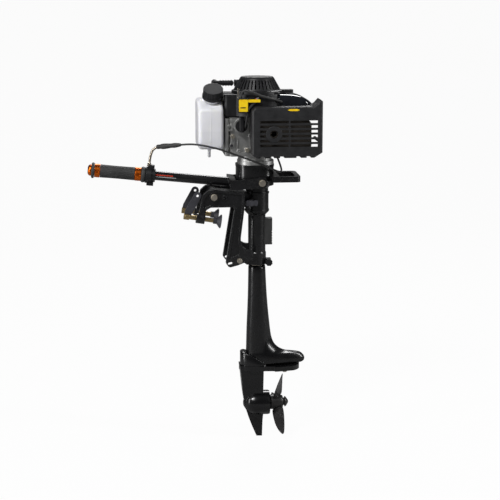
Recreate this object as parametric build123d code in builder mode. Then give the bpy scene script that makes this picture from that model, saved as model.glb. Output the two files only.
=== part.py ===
from build123d import *

import os
from math import cos, degrees, pi, radians, sin, tan

# A small air-cooled outboard motor, in millimetres.
# +X is aft (the propeller side), +Y is starboard, +Z is up.
# The origin is the middle of the seat that rests on the top of a boat's transom.

os.makedirs("parts", exist_ok=True)

# Driving dimensions
steer_x = 95.0          # steering, crankshaft and drive shaft axis
tilt_x = -22.0          # tilt bolt
tilt_z = 27.0
lean = 9.2              # degrees that the transom face leans
cheek_in = 40.0         # inner face of each bracket cheek
cheek_out = 54.0        # outer face of each bracket cheek
screw_y = 47.0          # clamp screws, port and starboard
screw_x = -58.0         # where a clamp screw crosses its boss
screw_z = -29.0
screw_d = 12.0
trim_radius = 181.4     # trim holes, measured from the tilt bolt
trim_angle = -68.5
head_top = 107.0        # top of the column head
neck_bottom = 36.0
collar_bottom = -161.0
leg_bottom = -437.0
prop_z = -546.0         # propeller shaft axis
prop_radius = 94.0
crank_z = 184.0         # cylinder axis
case_top = 233.0
fan_top = 291.0
recoil_top = 333.0
tiller_y_angle = 5.76   # degrees that the tiller rises towards the grip
pivot_x = 103.0         # tiller pivot bolt
pivot_z = 62.5
running_gap = 0.05      # radial gap of a shaft in its bearing
bolt_flats = 10.0       # across flats of the common M6 bolt


def save(part, name):
    part.label = name
    export_step(part, "parts/" + name + ".step")


def ring_of(points, plane, height, radius=0.0, mode=Mode.ADD):
    """A prism on a polygon with rounded corners."""
    with BuildSketch(plane) as outline:
        Polygon(*points, align=None)
        if radius:
            fillet(outline.vertices(), radius)
    extrude(outline.sketch, amount=height, mode=mode)


def rod(start, end, radius, bore=0.0, mode=Mode.ADD):
    """A round bar or tube from one point to another."""
    along = Vector(*end) - Vector(*start)
    with BuildSketch(Plane(origin=start, z_dir=along)) as section:
        Circle(radius)
        if bore:
            Circle(bore, mode=Mode.SUBTRACT)
    extrude(section.sketch, amount=along.length, mode=mode)


def hexagon(start, end, flats, mode=Mode.ADD):
    along = Vector(*end) - Vector(*start)
    with BuildSketch(Plane(origin=start, z_dir=along)) as section:
        RegularPolygon(flats / 2, 6, major_radius=False)
    extrude(section.sketch, amount=along.length, mode=mode)


def block(low, high, radius=0.0, mode=Mode.ADD):
    """A box between two corners, its upright edges rounded."""
    with BuildSketch(Plane.XY.offset(low[2])) as section:
        with Locations(((low[0] + high[0]) / 2, (low[1] + high[1]) / 2)):
            if radius:
                RectangleRounded(high[0] - low[0], high[1] - low[1], radius)
            else:
                Rectangle(high[0] - low[0], high[1] - low[1])
    extrude(section.sketch, amount=high[2] - low[2], mode=mode)


def side_plane(y):
    """The XZ plane at y, drawn as seen from port; extrusions go towards port."""
    return Plane.XZ.offset(-y)


# ---------------------------------------------------------------- stern bracket

lean_dir = Vector(cos(radians(lean)), 0, -sin(radians(lean)))


def on_screw(side, distance):
    """A point on a clamp screw's axis, measured aft from its boss."""
    centre = Vector(screw_x, side * screw_y, screw_z)
    return tuple(centre + lean_dir * distance)


def on_tilt_circle(radius, angle):
    return (tilt_x + radius * cos(radians(angle)), tilt_z + radius * sin(radians(angle)))


trim_x, trim_z = on_tilt_circle(trim_radius, trim_angle)
spare_x, spare_z = on_tilt_circle(trim_radius, trim_angle - 8.2)
leg_top = (32.3, 0.0)
leg_foot = (leg_top[0] - 148 * tan(radians(lean)), -148.0)

cheek_outline = [
    # x, z and the corner's radius
    (-51, 32, 9), (-38, 43.5, 12), (-20, 46.5, 20), (58, 36, 4),
    (57, -6, 60), (46.5, -88, 40), (53, -107, 14), (66, -114, 12), (80, -116, 3),
    (80, -139, 8), (60, -146, 20), (40, -154, 20), (17, -160, 8),
    (*leg_foot, 3), (31, -8, 2), (29, 0, 1), (-31, 0, 8), (-42.5, -7, 8),
    (-46.5, -20, 6), (-47, -32, 1), (-67, -30, 1), (-61, -14, 12), (-56, 6, 30),
]
cheek_panel = [
    (-44, 26), (-34, 37), (-19, 40), (51.5, 31),
    (50.5, -6), (40.5, -88), (44, -108), (44, -124), (18, -136), (35.5, -6), (30, 6), (-31, 6),
    (-47, -2), (-50, 10),
]
seat_half = 26.0
seat_web = 7.0
panel_depth = 3.5
boss_radius = 13.0

with BuildPart() as clamp_bracket:
    for side in (-1, 1):
        near = side_plane(cheek_out if side > 0 else -cheek_in)
        with BuildSketch(near) as cheek:
            with BuildLine():
                corners = [(x, z) for x, z, radius in cheek_outline]
                FilletPolyline(*corners, radius=[radius for x, z, radius in cheek_outline], close=True)
            make_face()
        extrude(cheek.sketch, amount=cheek_out - cheek_in)
        rod(on_screw(side, -10), on_screw(side, 12), boss_radius)
    ring_of(
        [(-seat_half, 0), (seat_half, 0), (seat_half, seat_web), (-seat_half, seat_web)],
        side_plane(cheek_in), 2 * cheek_in,
    )
    for side in (-1, 1):
        face = side_plane(-cheek_out + panel_depth) if side < 0 else side_plane(cheek_out)
        with BuildSketch(face) as panel:
            Polygon(*cheek_panel, align=None)
            with Locations((tilt_x, tilt_z)):
                Circle(12, mode=Mode.SUBTRACT)
            with Locations((6, 24)):
                Circle(7, mode=Mode.SUBTRACT)
        extrude(panel.sketch, amount=panel_depth, mode=Mode.SUBTRACT)
        rod(on_screw(side, -12), on_screw(side, 14), screw_d / 2 + running_gap, mode=Mode.SUBTRACT)
    far = side_plane(cheek_out + 2)
    with BuildSketch(far) as holes:
        with Locations((tilt_x, tilt_z)):
            Circle(5.05)
        with Locations((6, 24)):
            Circle(3.4)
        with Locations((trim_x, trim_z)):
            Circle(5.05)
        with Locations(Location((spare_x, spare_z, 0), 14)):
            SlotOverall(13, 8)
    extrude(holes.sketch, amount=2 * cheek_out + 4, mode=Mode.SUBTRACT)
save(clamp_bracket.part, "clamp_bracket")

# The tilt bolt with its pivot sleeve, and the bolt across the lower ends of the cheeks,
# which the swivel bracket rests against
pivot_radius = 8.0
with BuildPart() as bracket_bolts:
    rod((tilt_x, cheek_out + 6, tilt_z), (tilt_x, -cheek_out - 2, tilt_z), 5.0)
    hexagon((tilt_x, -cheek_out - 2, tilt_z), (tilt_x, -cheek_out - 8.5, tilt_z), 14)
    hexagon((tilt_x, cheek_out + 2, tilt_z), (tilt_x, cheek_out + 10, tilt_z), 14)
    for side in (-1, 1):
        rod((tilt_x, side * cheek_out, tilt_z), (tilt_x, side * (cheek_out + 2), tilt_z), 8.6)
    rod((tilt_x, -cheek_in, tilt_z), (tilt_x, cheek_in, tilt_z), pivot_radius)
    rod((trim_x, cheek_out + 8, trim_z), (trim_x, -cheek_out - 1.5, trim_z), 5.0)
    hexagon((trim_x, -cheek_out - 1.5, trim_z), (trim_x, -cheek_out - 7.5, trim_z), 11)
    hexagon((trim_x, cheek_out + 1.5, trim_z), (trim_x, cheek_out + 9, trim_z), 11)
    for side in (-1, 1):
        rod((trim_x, side * cheek_out, trim_z), (trim_x, side * (cheek_out + 1.5), trim_z), 7)
save(bracket_bolts.part, "bracket_bolts")

# Clamp screws, their cups and folding handles, one set on each side
screw_back = -36.8      # forward end of a screw, where its handle is pinned
screw_front = 44.0      # aft end, inside the cup
cup_at = 43.0
cup_radius = 18.0
handle_reach = 61.5
handle_angle = 60.8


def clamp_cup(side):
    """A dished cup with a neck that the screw turns in."""
    with BuildSketch(Plane(origin=on_screw(side, cup_at), x_dir=(0, 1, 0), z_dir=lean_dir)) as rim:
        Circle(7.5)
    with BuildSketch(Plane(origin=on_screw(side, cup_at + 10), x_dir=(0, 1, 0), z_dir=lean_dir)) as lip:
        Circle(cup_radius)
    loft([rim.sketch, lip.sketch])
    rod(on_screw(side, cup_at + 10), on_screw(side, cup_at + 12), cup_radius)
    rod(on_screw(side, cup_at - 8), on_screw(side, cup_at), 8.5)
    rod(on_screw(side, cup_at - 9), on_screw(side, screw_front + 0.2), 4 + running_gap, mode=Mode.SUBTRACT)


def clamp_screw(side):
    """A threaded bar with a turned-down tip and a slotted, pinned hub."""
    rod(on_screw(side, screw_back), on_screw(side, cup_at - 8.3), screw_d / 2)
    rod(on_screw(side, cup_at - 9), on_screw(side, screw_front), 4)
    rod(on_screw(side, screw_back - 6), on_screw(side, screw_back + 8), 8)
    hub = Plane(origin=on_screw(side, screw_back - 8), x_dir=(0, 1, 0), z_dir=lean_dir)
    with BuildSketch(hub) as slot:
        Rectangle(4.6, 20)
    extrude(slot.sketch, amount=20, mode=Mode.SUBTRACT)
    x, y, z = on_screw(side, screw_back)
    rod((x, y - 8.5, z), (x, y + 8.5, z), 2.5)


def clamp_handle(side):
    """A flat plate with a hole in its tip, folding about the pin through the hub."""
    x, y, z = on_screw(side, screw_back)
    thick = 4.0
    leaning = (cos(radians(handle_angle)), 0, sin(radians(handle_angle)))
    with BuildSketch(Plane(origin=(x, y + thick / 2, z), x_dir=leaning, z_dir=(0, -1, 0))) as plate:
        with BuildLine():
            Polyline((0, 6), (14, 10), (handle_reach, 10))
            ThreePointArc((handle_reach, 10), (handle_reach + 10, 0), (handle_reach, -10))
            Polyline((handle_reach, -10), (14, -10), (0, -6))
            ThreePointArc((0, -6), (-6, 0), (0, 6))
        make_face()
        Circle(2.5 + running_gap, mode=Mode.SUBTRACT)
        with Locations((handle_reach, 0)):
            Circle(3.4, mode=Mode.SUBTRACT)
    extrude(plate.sketch, amount=thick)


for side, side_name in ((-1, "port"), (1, "starboard")):
    with BuildPart() as cup:
        clamp_cup(side)
    save(cup.part, "clamp_cup_" + side_name)
    with BuildPart() as screw:
        clamp_screw(side)
    save(screw.part, "clamp_screw_" + side_name)
    with BuildPart() as handle:
        clamp_handle(side)
    save(handle.part, "clamp_handle_" + side_name)

# --------------------------------------------------------------- swivel bracket

barrel_radius = 15.0
barrel_half = cheek_in - 1.2
arm_half = 21.0
housing_radius = 31.0
housing_top = 33.5
housing_bottom = -28.5
tube_radius = 23.0
bush_radius = 21.0
pilot_radius = 18.0
collar_top = -127.0
collar_radius = 24.5
wing_x = 77.0
wing_z = 8.0
knob_x = 125.0
knob_z = -154.5
friction_d = 8.0

with BuildPart() as swivel_bracket:
    rod((tilt_x, -barrel_half, tilt_z), (tilt_x, barrel_half, tilt_z), barrel_radius)
    ring_of(
        [(tilt_x, 41.5), (66, 33.4), (74, 22), (76, -8), (52, -4), (22, 17), (tilt_x, 14)],
        side_plane(arm_half), 2 * arm_half,
    )
    for side in (-1, 1):
        depth = 9.0
        start = side_plane(arm_half) if side > 0 else side_plane(-arm_half + depth)
        ring_of([(0, 34), (56, 28.5), (56, 6), (26, 22), (0, 21)], start, depth, 2, Mode.SUBTRACT)
    with BuildSketch(Plane.XZ) as turned:
        with Locations((steer_x, 0)):
            Polygon(
                (0, housing_top), (housing_radius, housing_top), (housing_radius, -20),
                (tube_radius, housing_bottom), (tube_radius, collar_top), (collar_radius, collar_top - 3),
                (collar_radius, collar_bottom), (0, collar_bottom), align=None,
            )
    revolve(turned.sketch, Axis((steer_x, 0, 0), (0, 0, 1)), 360)
    ring_of(
        [(steer_x, -129), (68, -129), (54, -134), (50.5, -141.8), (54, -150), (66, -159), (steer_x, -159)],
        side_plane(24), 48,
    )
    block((steer_x, -9, -162), (knob_x + 7, 9, -147))
    rod((wing_x, -36, wing_z), (wing_x, 0, wing_z), 9)
    # boss ribs around the housing
    for z in (housing_top - 5, -18):
        with BuildSketch(Plane.XY.offset(z)) as rim:
            with Locations((steer_x, 0)):
                Circle(housing_radius + 1.5)
        extrude(rim.sketch, amount=4)
    # bores
    rod((tilt_x, -45, tilt_z), (tilt_x, 45, tilt_z), pivot_radius + running_gap, mode=Mode.SUBTRACT)
    rod((steer_x, 0, -170), (steer_x, 0, 40), pilot_radius + 1.5, mode=Mode.SUBTRACT)
    rod((steer_x, 0, 3), (steer_x, 0, 40), bush_radius, mode=Mode.SUBTRACT)
    rod((steer_x, 0, -170), (steer_x, 0, -128), bush_radius, mode=Mode.SUBTRACT)
    rod((wing_x, -40, wing_z), (wing_x, -22, wing_z), friction_d / 2 + running_gap, mode=Mode.SUBTRACT)
    block((steer_x, -1, -170), (knob_x + 10, 1, -142), mode=Mode.SUBTRACT)
    rod((knob_x, -30, knob_z), (knob_x, 30, knob_z), 3 + running_gap, mode=Mode.SUBTRACT)
save(swivel_bracket.part, "swivel_bracket")

# Flanged plastic bushes for the steering tube, top and bottom
with BuildPart() as steering_bushes:
    rod((steer_x, 0, 5), (steer_x, 0, housing_top), bush_radius, pilot_radius + running_gap)
    rod((steer_x, 0, housing_top), (steer_x, 0, neck_bottom - 0.3), 27, pilot_radius + running_gap)
    rod((steer_x, 0, collar_bottom), (steer_x, 0, -130), bush_radius, pilot_radius + running_gap)
save(steering_bushes.part, "steering_bushes")

# Ribbed rubber buffer on the aft side of the swivel tube
with BuildPart() as rubber_buffer:
    block((steer_x + 8, -13, -108), (135, 13, -38), 3)
    rod((steer_x, 0, -110), (steer_x, 0, -30), tube_radius, mode=Mode.SUBTRACT)
    for step in range(5):
        z = -103 + 7 * step
        block((131.5, -14, z), (136, 14, z + 3), mode=Mode.SUBTRACT)
save(rubber_buffer.part, "rubber_buffer")

# Wing screw that sets the steering friction
with BuildPart() as friction_screw:
    rod((wing_x, -23, wing_z), (wing_x, -44, wing_z), friction_d / 2)
    rod((wing_x, -36.4, wing_z), (wing_x, -47, wing_z), 7)
    for side in (-1, 1):
        wing = [(0, -4), (side * 12, -7.5), (side * 16, -4), (side * 16, 6), (side * 11, 8), (0, 4)]
        ring_of([(wing_x + x, wing_z + z) for x, z in wing], side_plane(-41), 4, 1)
save(friction_screw.part, "friction_screw")

# Knob and screw that pinch the split collar
with BuildPart() as collar_knob:
    rod((knob_x, 12, knob_z), (knob_x, -14, knob_z), 3)
    rod((knob_x, -9.3, knob_z), (knob_x, -15, knob_z), 5.5)
    rod((knob_x, -15, knob_z), (knob_x, -26, knob_z), 9.5)
    for turn in range(8):
        angle = radians(45 * turn)
        x, z = knob_x + 10.8 * cos(angle), knob_z + 10.8 * sin(angle)
        rod((x, -12, z), (x, -27, z), 2.4, mode=Mode.SUBTRACT)
save(collar_knob.part, "collar_knob")

# ------------------------------------------------------------ column and gearcase

shaft_radius = 5.0
leg_sections = [
    (-163.5, 95.0, 22.5, 22.5),
    (-250.0, 96.5, 25.5, 23.0),
    (-320.0, 99.0, 31.0, 24.0),
    (-372.0, 102.0, 35.5, 25.0),
    (-415.0, 103.0, 37.5, 26.0),
]

with BuildPart() as column_leg:
    rod((steer_x, 0, neck_bottom), (steer_x, 0, -163.5), pilot_radius)
    for z, x, long_half, wide_half in leg_sections:
        with BuildSketch(Plane.XY.offset(z)) as ring:
            with Locations((x, 0)):
                Ellipse(long_half, wide_half)
    loft()
    # shoulder that sweeps aft into the exhaust snout
    with BuildSketch(side_plane(30)) as shoulder:
        with BuildLine():
            Polyline((70, -400), (70, leg_bottom), (218, leg_bottom), (226, -424), (212, -405.5), (184, -404.5))
            Spline((184, -404.5), (157, -394.5), (139, -377), (131.5, -345), tangents=[(-1, 0.05), (0, 1)])
            Polyline((131.5, -345), (100, -345), (70, -400))
        make_face()
    extrude(shoulder.sketch, amount=60)
    with BuildSketch(Plane.XY.offset(-460)) as plan:
        with BuildLine():
            Spline((52, 0), (75, -25), (110, -30), (160, -27), (214, -17), tangents=[(0, -1), (1, 0.25)])
            ThreePointArc((214, -17), (232, 0), (214, 17))
            Spline((214, 17), (160, 27), (110, 30), (75, 25), (52, 0), tangents=[(-1, 0.25), (0, -1)])
        make_face()
    extrude(plan.sketch, amount=640, mode=Mode.INTERSECT)
    with BuildSketch(Plane.XY.offset(leg_bottom)) as flange:
        with BuildLine():
            Spline((50, 0), (66, -25), (92, -32), (125, -30), tangents=[(0, -1), (1, 0.1)])
            Line((125, -30), (125, 30))
            Spline((125, 30), (92, 32), (66, 25), (50, 0), tangents=[(-1, 0.1), (0, -1)])
        make_face()
    # the flange rises towards the leading edge
    with BuildPart(mode=Mode.PRIVATE) as wedge:
        extrude(flange.sketch, amount=42)
        slope = [(40, -397), (58, -400), (84, -410), (106, -424), (130, -426), (130, -438), (40, -438)]
        ring_of(slope, side_plane(40), 80, mode=Mode.INTERSECT)
    add(wedge.part)
    rod((steer_x, 0, leg_bottom - 1), (steer_x, 0, neck_bottom + 1), 12, mode=Mode.SUBTRACT)
save(column_leg.part, "column_leg")

# Gearcase: mounting face, anti-ventilation plate, strut, torpedo and skeg
plate_bottom = -449.5
torpedo_radius = 33.0
cavity_radius = 26.0
torpedo_rear = 126.0
cone_face = 21.0        # pitch radius of the driven gear
carrier_front = 108.0   # front of the bearing carrier
strut_outline = [
    (48, leg_bottom), (51.8, -470), (56.2, -513), (63, -552), (76, -595), (94.5, -640), (109.5, -640.5),
    (111.5, -575), (112, leg_bottom),
]

with BuildPart() as gearcase:
    with BuildSketch(side_plane(24)) as strut:
        with BuildLine():
            Spline(*strut_outline[:6])
            Polyline(*strut_outline[5:], strut_outline[0])
        make_face()
    extrude(strut.sketch, amount=48)
    # the strut's thickness falls from the plate to the skeg's edge
    with BuildSketch(Plane.YZ.offset(40)) as front:
        Polygon(
            (-24, leg_bottom), (24, leg_bottom), (21, -460), (15, -505), (14, -575), (5, -596), (3.2, -641),
            (-3.2, -641), (-5, -596), (-14, -575), (-15, -505), (-21, -460), align=None,
        )
    extrude(front.sketch, amount=80, mode=Mode.INTERSECT)
    with BuildSketch(Plane.XY.offset(leg_bottom)) as plan:
        with BuildLine():
            Spline((47, 0), (62, -25), (90, -33), (140, -38), (190, -34), tangents=[(0, -1), (1, 0.2)])
            ThreePointArc((190, -34), (210, 0), (190, 34))
            Spline((190, 34), (140, 38), (90, 33), (62, 25), (47, 0), tangents=[(-1, 0.2), (0, -1)])
        make_face()
    extrude(plan.sketch, amount=plate_bottom - leg_bottom)
    with BuildSketch(Plane.XZ) as bullet:
        with BuildLine():
            Line((58, prop_z), (torpedo_rear, prop_z))
            Line((torpedo_rear, prop_z), (torpedo_rear, prop_z + torpedo_radius))
            Line((torpedo_rear, prop_z + torpedo_radius), (100, prop_z + torpedo_radius))
            Spline(
                (100, prop_z + torpedo_radius), (82, prop_z + 31), (70, prop_z + 24.8), (61.5, prop_z + 12), (58, prop_z),
                tangents=[(-1, 0), (0, -1)],
            )
        make_face()
    revolve(bullet.sketch, Axis((0, 0, prop_z), (1, 0, 0)), 360)
    # bores for the drive shaft, the gears and the bearing carrier
    rod((steer_x, 0, prop_z), (steer_x, 0, leg_bottom + 1), 12, mode=Mode.SUBTRACT)
    rod((carrier_front, 0, prop_z), (torpedo_rear + 1, 0, prop_z), cavity_radius, mode=Mode.SUBTRACT)
    rod((70, 0, prop_z), (carrier_front, 0, prop_z), 22.5, mode=Mode.SUBTRACT)
    rod((64, 0, prop_z), (72, 0, prop_z), 9, mode=Mode.SUBTRACT)
save(gearcase.part, "gearcase")

with BuildPart() as bearing_carrier:
    rod((carrier_front, 0, prop_z), (torpedo_rear, 0, prop_z), cavity_radius)
    rod((torpedo_rear, 0, prop_z), (torpedo_rear + 3, 0, prop_z), torpedo_radius - 1)
    rod((carrier_front, 0, prop_z), (torpedo_rear + 4, 0, prop_z), 11)
    rod((carrier_front - 1, 0, prop_z), (torpedo_rear + 5, 0, prop_z), 9.5, mode=Mode.SUBTRACT)
    for side in (-1, 1):
        rod((120, side * 28.5, prop_z), (torpedo_rear + 4, side * 28.5, prop_z), 2.5, mode=Mode.SUBTRACT)
save(bearing_carrier.part, "bearing_carrier")

shaft_top = 69.0
prop_shaft_radius = 6.0
with BuildPart() as shaft_bearings:
    # two plain bearings on the drive shaft and two on the propeller shaft
    rod((steer_x, 0, -505), (steer_x, 0, -490), 12, shaft_radius + running_gap)
    rod((steer_x, 0, 20), (steer_x, 0, 35), 12, shaft_radius + running_gap)
    rod((64, 0, prop_z), (70, 0, prop_z), 9, prop_shaft_radius + running_gap)
    rod((carrier_front + 2, 0, prop_z), (torpedo_rear + 2, 0, prop_z), 9.5, prop_shaft_radius + running_gap)
save(shaft_bearings.part, "shaft_bearings")

with BuildPart() as drive_shaft:
    rod((steer_x, 0, prop_z + 15), (steer_x, 0, shaft_top), shaft_radius)
save(drive_shaft.part, "drive_shaft")

# Bevel gears, 12 teeth on the drive shaft and 24 on the propeller shaft
pinion_teeth = 12
driven_teeth = 24
pinion_pitch = cone_face * pinion_teeth / driven_teeth
tooth_height = 1.5
face_width = 7.0
cone_length = (cone_face**2 + pinion_pitch**2) ** 0.5


def bevel_gear(apex, axis, across, pitch, depth, teeth, phase, bore):
    """A bevel gear whose teeth all point at the apex; axis runs from the apex to the gear."""
    axis = Vector(*axis)
    inner = 1 - face_width / cone_length
    root = tooth_height * 1.15
    slant_out = depth / cone_length
    slant_in = pitch / cone_length
    with BuildSketch(Plane(origin=apex, x_dir=across, z_dir=Vector(*axis).cross(Vector(*across)) * -1)) as half:
        # local x is across the axis, local y runs along the axis
        Polygon(
            (bore, depth * inner - root * slant_in), (pitch * inner - root * slant_out, depth * inner + root * slant_in),
            (pitch - root * slant_out, depth + root * slant_in), (pitch - 3.5, depth + 6), (bore, depth + 6),
            align=None,
        )
    revolve(half.sketch, Axis(apex, tuple(axis)), 360)
    for number in range(teeth):
        turn = 2 * pi * number / teeth + phase
        sections = []
        for scale in (inner, 1.0):
            outward = Vector(*across).rotate(Axis((0, 0, 0), tuple(axis)), degrees(turn))
            centre = Vector(*apex) + outward * (pitch * scale) + axis * (depth * scale)
            slope = (outward * slant_in + axis * slant_out).normalized()
            sideways = axis.cross(outward)
            with BuildSketch(Plane(origin=centre, x_dir=sideways, z_dir=slope)) as tooth:
                wide = 2 * pi * pitch / teeth * scale
                # local y of this plane points into or out of the cone's surface
                out = 1 if Vector(*slope).cross(sideways).dot(outward) > 0 else -1
                Polygon(
                    (-0.30 * wide, -out * 1.4 * tooth_height * scale), (0.30 * wide, -out * 1.4 * tooth_height * scale),
                    (0.11 * wide, out * 0.8 * tooth_height * scale), (-0.11 * wide, out * 0.8 * tooth_height * scale),
                    align=None,
                )
            sections.append(tooth.sketch)
        loft(sections)


apex = (steer_x, 0, prop_z)
with BuildPart() as pinion_gear:
    bevel_gear(apex, (0, 0, 1), (-1, 0, 0), pinion_pitch, cone_face, pinion_teeth, 0, shaft_radius)
    rod((steer_x, 0, prop_z + 8), (steer_x, 0, prop_z + 40), shaft_radius, mode=Mode.SUBTRACT)
save(pinion_gear.part, "pinion_gear")

with BuildPart() as driven_gear:
    bevel_gear(
        apex, (-1, 0, 0), (0, 0, 1), cone_face, pinion_pitch, driven_teeth, pi / driven_teeth, prop_shaft_radius
    )
    rod((60, 0, prop_z), (100, 0, prop_z), prop_shaft_radius, mode=Mode.SUBTRACT)
save(driven_gear.part, "driven_gear")

hub_front = 130.5
hub_rear = 166.0
with BuildPart() as propeller_shaft:
    rod((64.5, 0, prop_z), (175, 0, prop_z), prop_shaft_radius)
save(propeller_shaft.part, "propeller_shaft")

blade_stations = [
    # share of the radius, middle of the blade along X, chord, thickness, pitch angle
    (0.18, 150.5, 32.0, 6.5, 52.0),
    (0.40, 152.0, 42.0, 4.6, 38.0),
    (0.62, 154.0, 42.0, 3.4, 31.0),
    (0.82, 157.0, 31.0, 2.4, 27.0),
    (1.00, 160.5, 8.0, 1.2, 25.0),
]
with BuildPart() as propeller:
    with BuildSketch(Plane.XZ) as boss:
        Polygon(
            (hub_front, prop_z), (hub_front, prop_z + 19), (hub_front + 2, prop_z + 20.5),
            (hub_rear - 8, prop_z + 19.5), (hub_rear, prop_z + 16), (hub_rear, prop_z), align=None,
        )
    revolve(boss.sketch, Axis((0, 0, prop_z), (1, 0, 0)), 360)
    for number in range(3):
        turn = radians(20.6 + 120 * number)
        out = Vector(0, -sin(turn), cos(turn))
        sections = []
        for share, along, chord, thick, pitch_angle in blade_stations:
            centre = Vector(along, 0, prop_z) + out * (share * prop_radius)
            turned = Vector(sin(radians(pitch_angle)), 0, 0) + out.cross(Vector(1, 0, 0)) * cos(radians(pitch_angle))
            with BuildSketch(Plane(origin=centre, x_dir=turned, z_dir=out)) as section:
                Ellipse(chord / 2, thick / 2)
            sections.append(section.sketch)
        loft(sections)
    rod((hub_front - 1, 0, prop_z), (hub_rear + 1, 0, prop_z), prop_shaft_radius, mode=Mode.SUBTRACT)
save(propeller.part, "propeller")

with BuildPart() as propeller_nut:
    hexagon((hub_rear, 0, prop_z), (hub_rear + 5, 0, prop_z), 19)
    with BuildSketch(Plane.XZ) as dome:
        with BuildLine():
            Line((hub_rear + 5, prop_z), (181, prop_z))
            Spline((181, prop_z), (177, prop_z + 9), (hub_rear + 5, prop_z + 14), tangents=[(0, 1), (-1, 0.1)])
            Line((hub_rear + 5, prop_z + 14), (hub_rear + 5, prop_z))
        make_face()
    revolve(dome.sketch, Axis((0, 0, prop_z), (1, 0, 0)), 360)
    rod((hub_rear - 1, 0, prop_z), (175, 0, prop_z), prop_shaft_radius, mode=Mode.SUBTRACT)
save(propeller_nut.part, "propeller_nut")

# --------------------------------------------------------------- column head

head_x = 89.0
head_long = 98.0
head_wide = 94.0
chamber_radius = 36.0
fork_in = 50.4
fork_out = 58.0

with BuildPart() as column_head:
    block((head_x - head_long / 2, -head_wide / 2, 52), (head_x + head_long / 2, head_wide / 2, head_top), 38)
    with BuildSketch(Plane.XY.offset(neck_bottom)) as neck:
        with Locations((steer_x, 0)):
            Circle(30)
    extrude(neck.sketch, amount=8)
    with BuildSketch(Plane.XY.offset(neck_bottom + 8)) as lower:
        with Locations((steer_x, 0)):
            Circle(31)
    with BuildSketch(Plane.XY.offset(54)) as upper:
        with Locations((head_x + 2, 0)):
            Ellipse(42, 42)
    loft([lower.sketch, upper.sketch])
    for side in (-1, 1):
        rod((pivot_x, side * 30, pivot_z), (pivot_x, side * 49.9, pivot_z), 14)
    block((head_x - head_long / 2 - 1, -head_wide / 2 - 1, head_top - 6),
          (head_x + head_long / 2 + 1, head_wide / 2 + 1, head_top), 39)
    rod((steer_x, 0, 57), (steer_x, 0, head_top + 1), chamber_radius, mode=Mode.SUBTRACT)
    rod((steer_x, 0, neck_bottom - 1), (steer_x, 0, 60), 12, mode=Mode.SUBTRACT)
    for side in (-1, 1):
        rod((pivot_x, side * 37, pivot_z), (pivot_x, side * 52, pivot_z), 5, mode=Mode.SUBTRACT)
save(column_head.part, "column_head")

# U-shaped handle for lifting and carrying the motor
carry_rear = 204.0
with BuildPart() as carry_handle:
    with BuildSketch(Plane.XY.offset(63)) as loop:
        Polygon((122, -33), (130, -56), (carry_rear, -56), (carry_rear, 56), (130, 56), (122, 33), align=None)
        fillet(loop.vertices().group_by(Axis.X)[-1], 12)
        with Locations((head_x, 0)):
            RectangleRounded(head_long, head_wide, 38, mode=Mode.SUBTRACT)
        with Locations(((150 + carry_rear - 13) / 2, 0)):
            RectangleRounded(carry_rear - 13 - 150, 84, 5, mode=Mode.SUBTRACT)
    extrude(loop.sketch, amount=15)
    with BuildSketch(Plane.XY.offset(66)) as groove:
        with Locations(((150 + carry_rear - 10) / 2, 0)):
            RectangleRounded(carry_rear - 10 - 150, 90, 6)
    extrude(groove.sketch, amount=9, mode=Mode.SUBTRACT)
save(carry_handle.part, "carry_handle")

# ------------------------------------------------------------------- tiller

tiller_start = (50.0, 0.0, 56.2)
tiller_dir = Vector(-cos(radians(tiller_y_angle)), 0, sin(radians(tiller_y_angle)))
tiller_up = Vector(sin(radians(tiller_y_angle)), 0, cos(radians(tiller_y_angle)))
tiller_radius = 12.0


def on_tiller(distance, up=0.0, across=0.0):
    """A point along the tiller's axis towards the grip, then up and to starboard."""
    return tuple(Vector(*tiller_start) + tiller_dir * distance + tiller_up * up + Vector(0, across, 0))


grip_start = 248.7
ring_1 = 259.1
rubber_start = 275.8
rubber_end = 365.3
ring_2_end = 380.1
flange_end = 387.8
grip_end = 397.7

with BuildPart() as tiller_arm:
    rod(on_tiller(16), on_tiller(384), tiller_radius)
    ring_of([(20, 47), (37, 45), (37, 70), (20, 72)], side_plane(fork_out - 5), 2 * fork_out - 10)
    for side in (-1, 1):
        start = side_plane(fork_out if side > 0 else -fork_in)
        arm = [(20, 47), (37, 45), (80, 48.5), (pivot_x, 48.5), (pivot_x, 76.5), (80, 74), (37, 70), (20, 72)]
        with BuildSketch(start) as cheek:
            Polygon(*arm, align=None)
            with Locations((pivot_x, pivot_z)):
                Circle(14)
        extrude(cheek.sketch, amount=fork_out - fork_in)
        rod((pivot_x, side * 45, pivot_z), (pivot_x, side * 65, pivot_z), 6.05, mode=Mode.SUBTRACT)
    rod(on_tiller(20), on_tiller(390), tiller_radius - 2, mode=Mode.SUBTRACT)
save(tiller_arm.part, "tiller_arm")

with BuildPart() as throttle_housing:
    rod(on_tiller(222.5), on_tiller(248.2), 17.5)
    rod(on_tiller(233), on_tiller(248.2), 21)
    with BuildSketch(Plane(origin=on_tiller(226), x_dir=(0, 1, 0), z_dir=tiller_dir)) as box:
        Rectangle(20, 54)
        fillet(box.vertices(), 4)
    extrude(box.sketch, amount=17)
    rod(on_tiller(220), on_tiller(250), tiller_radius, mode=Mode.SUBTRACT)
    rod(on_tiller(234.5, 24), on_tiller(234.5, 30), 3.2, mode=Mode.SUBTRACT)
    rod(on_tiller(234.5, -22, -12), on_tiller(234.5, -22, -1), 4.1, mode=Mode.SUBTRACT)
save(throttle_housing.part, "throttle_housing")

with BuildPart() as stop_button:
    rod(on_tiller(234.5, -22, -3.5), on_tiller(234.5, -22, -14), 4.05)
save(stop_button.part, "stop_button")

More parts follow.
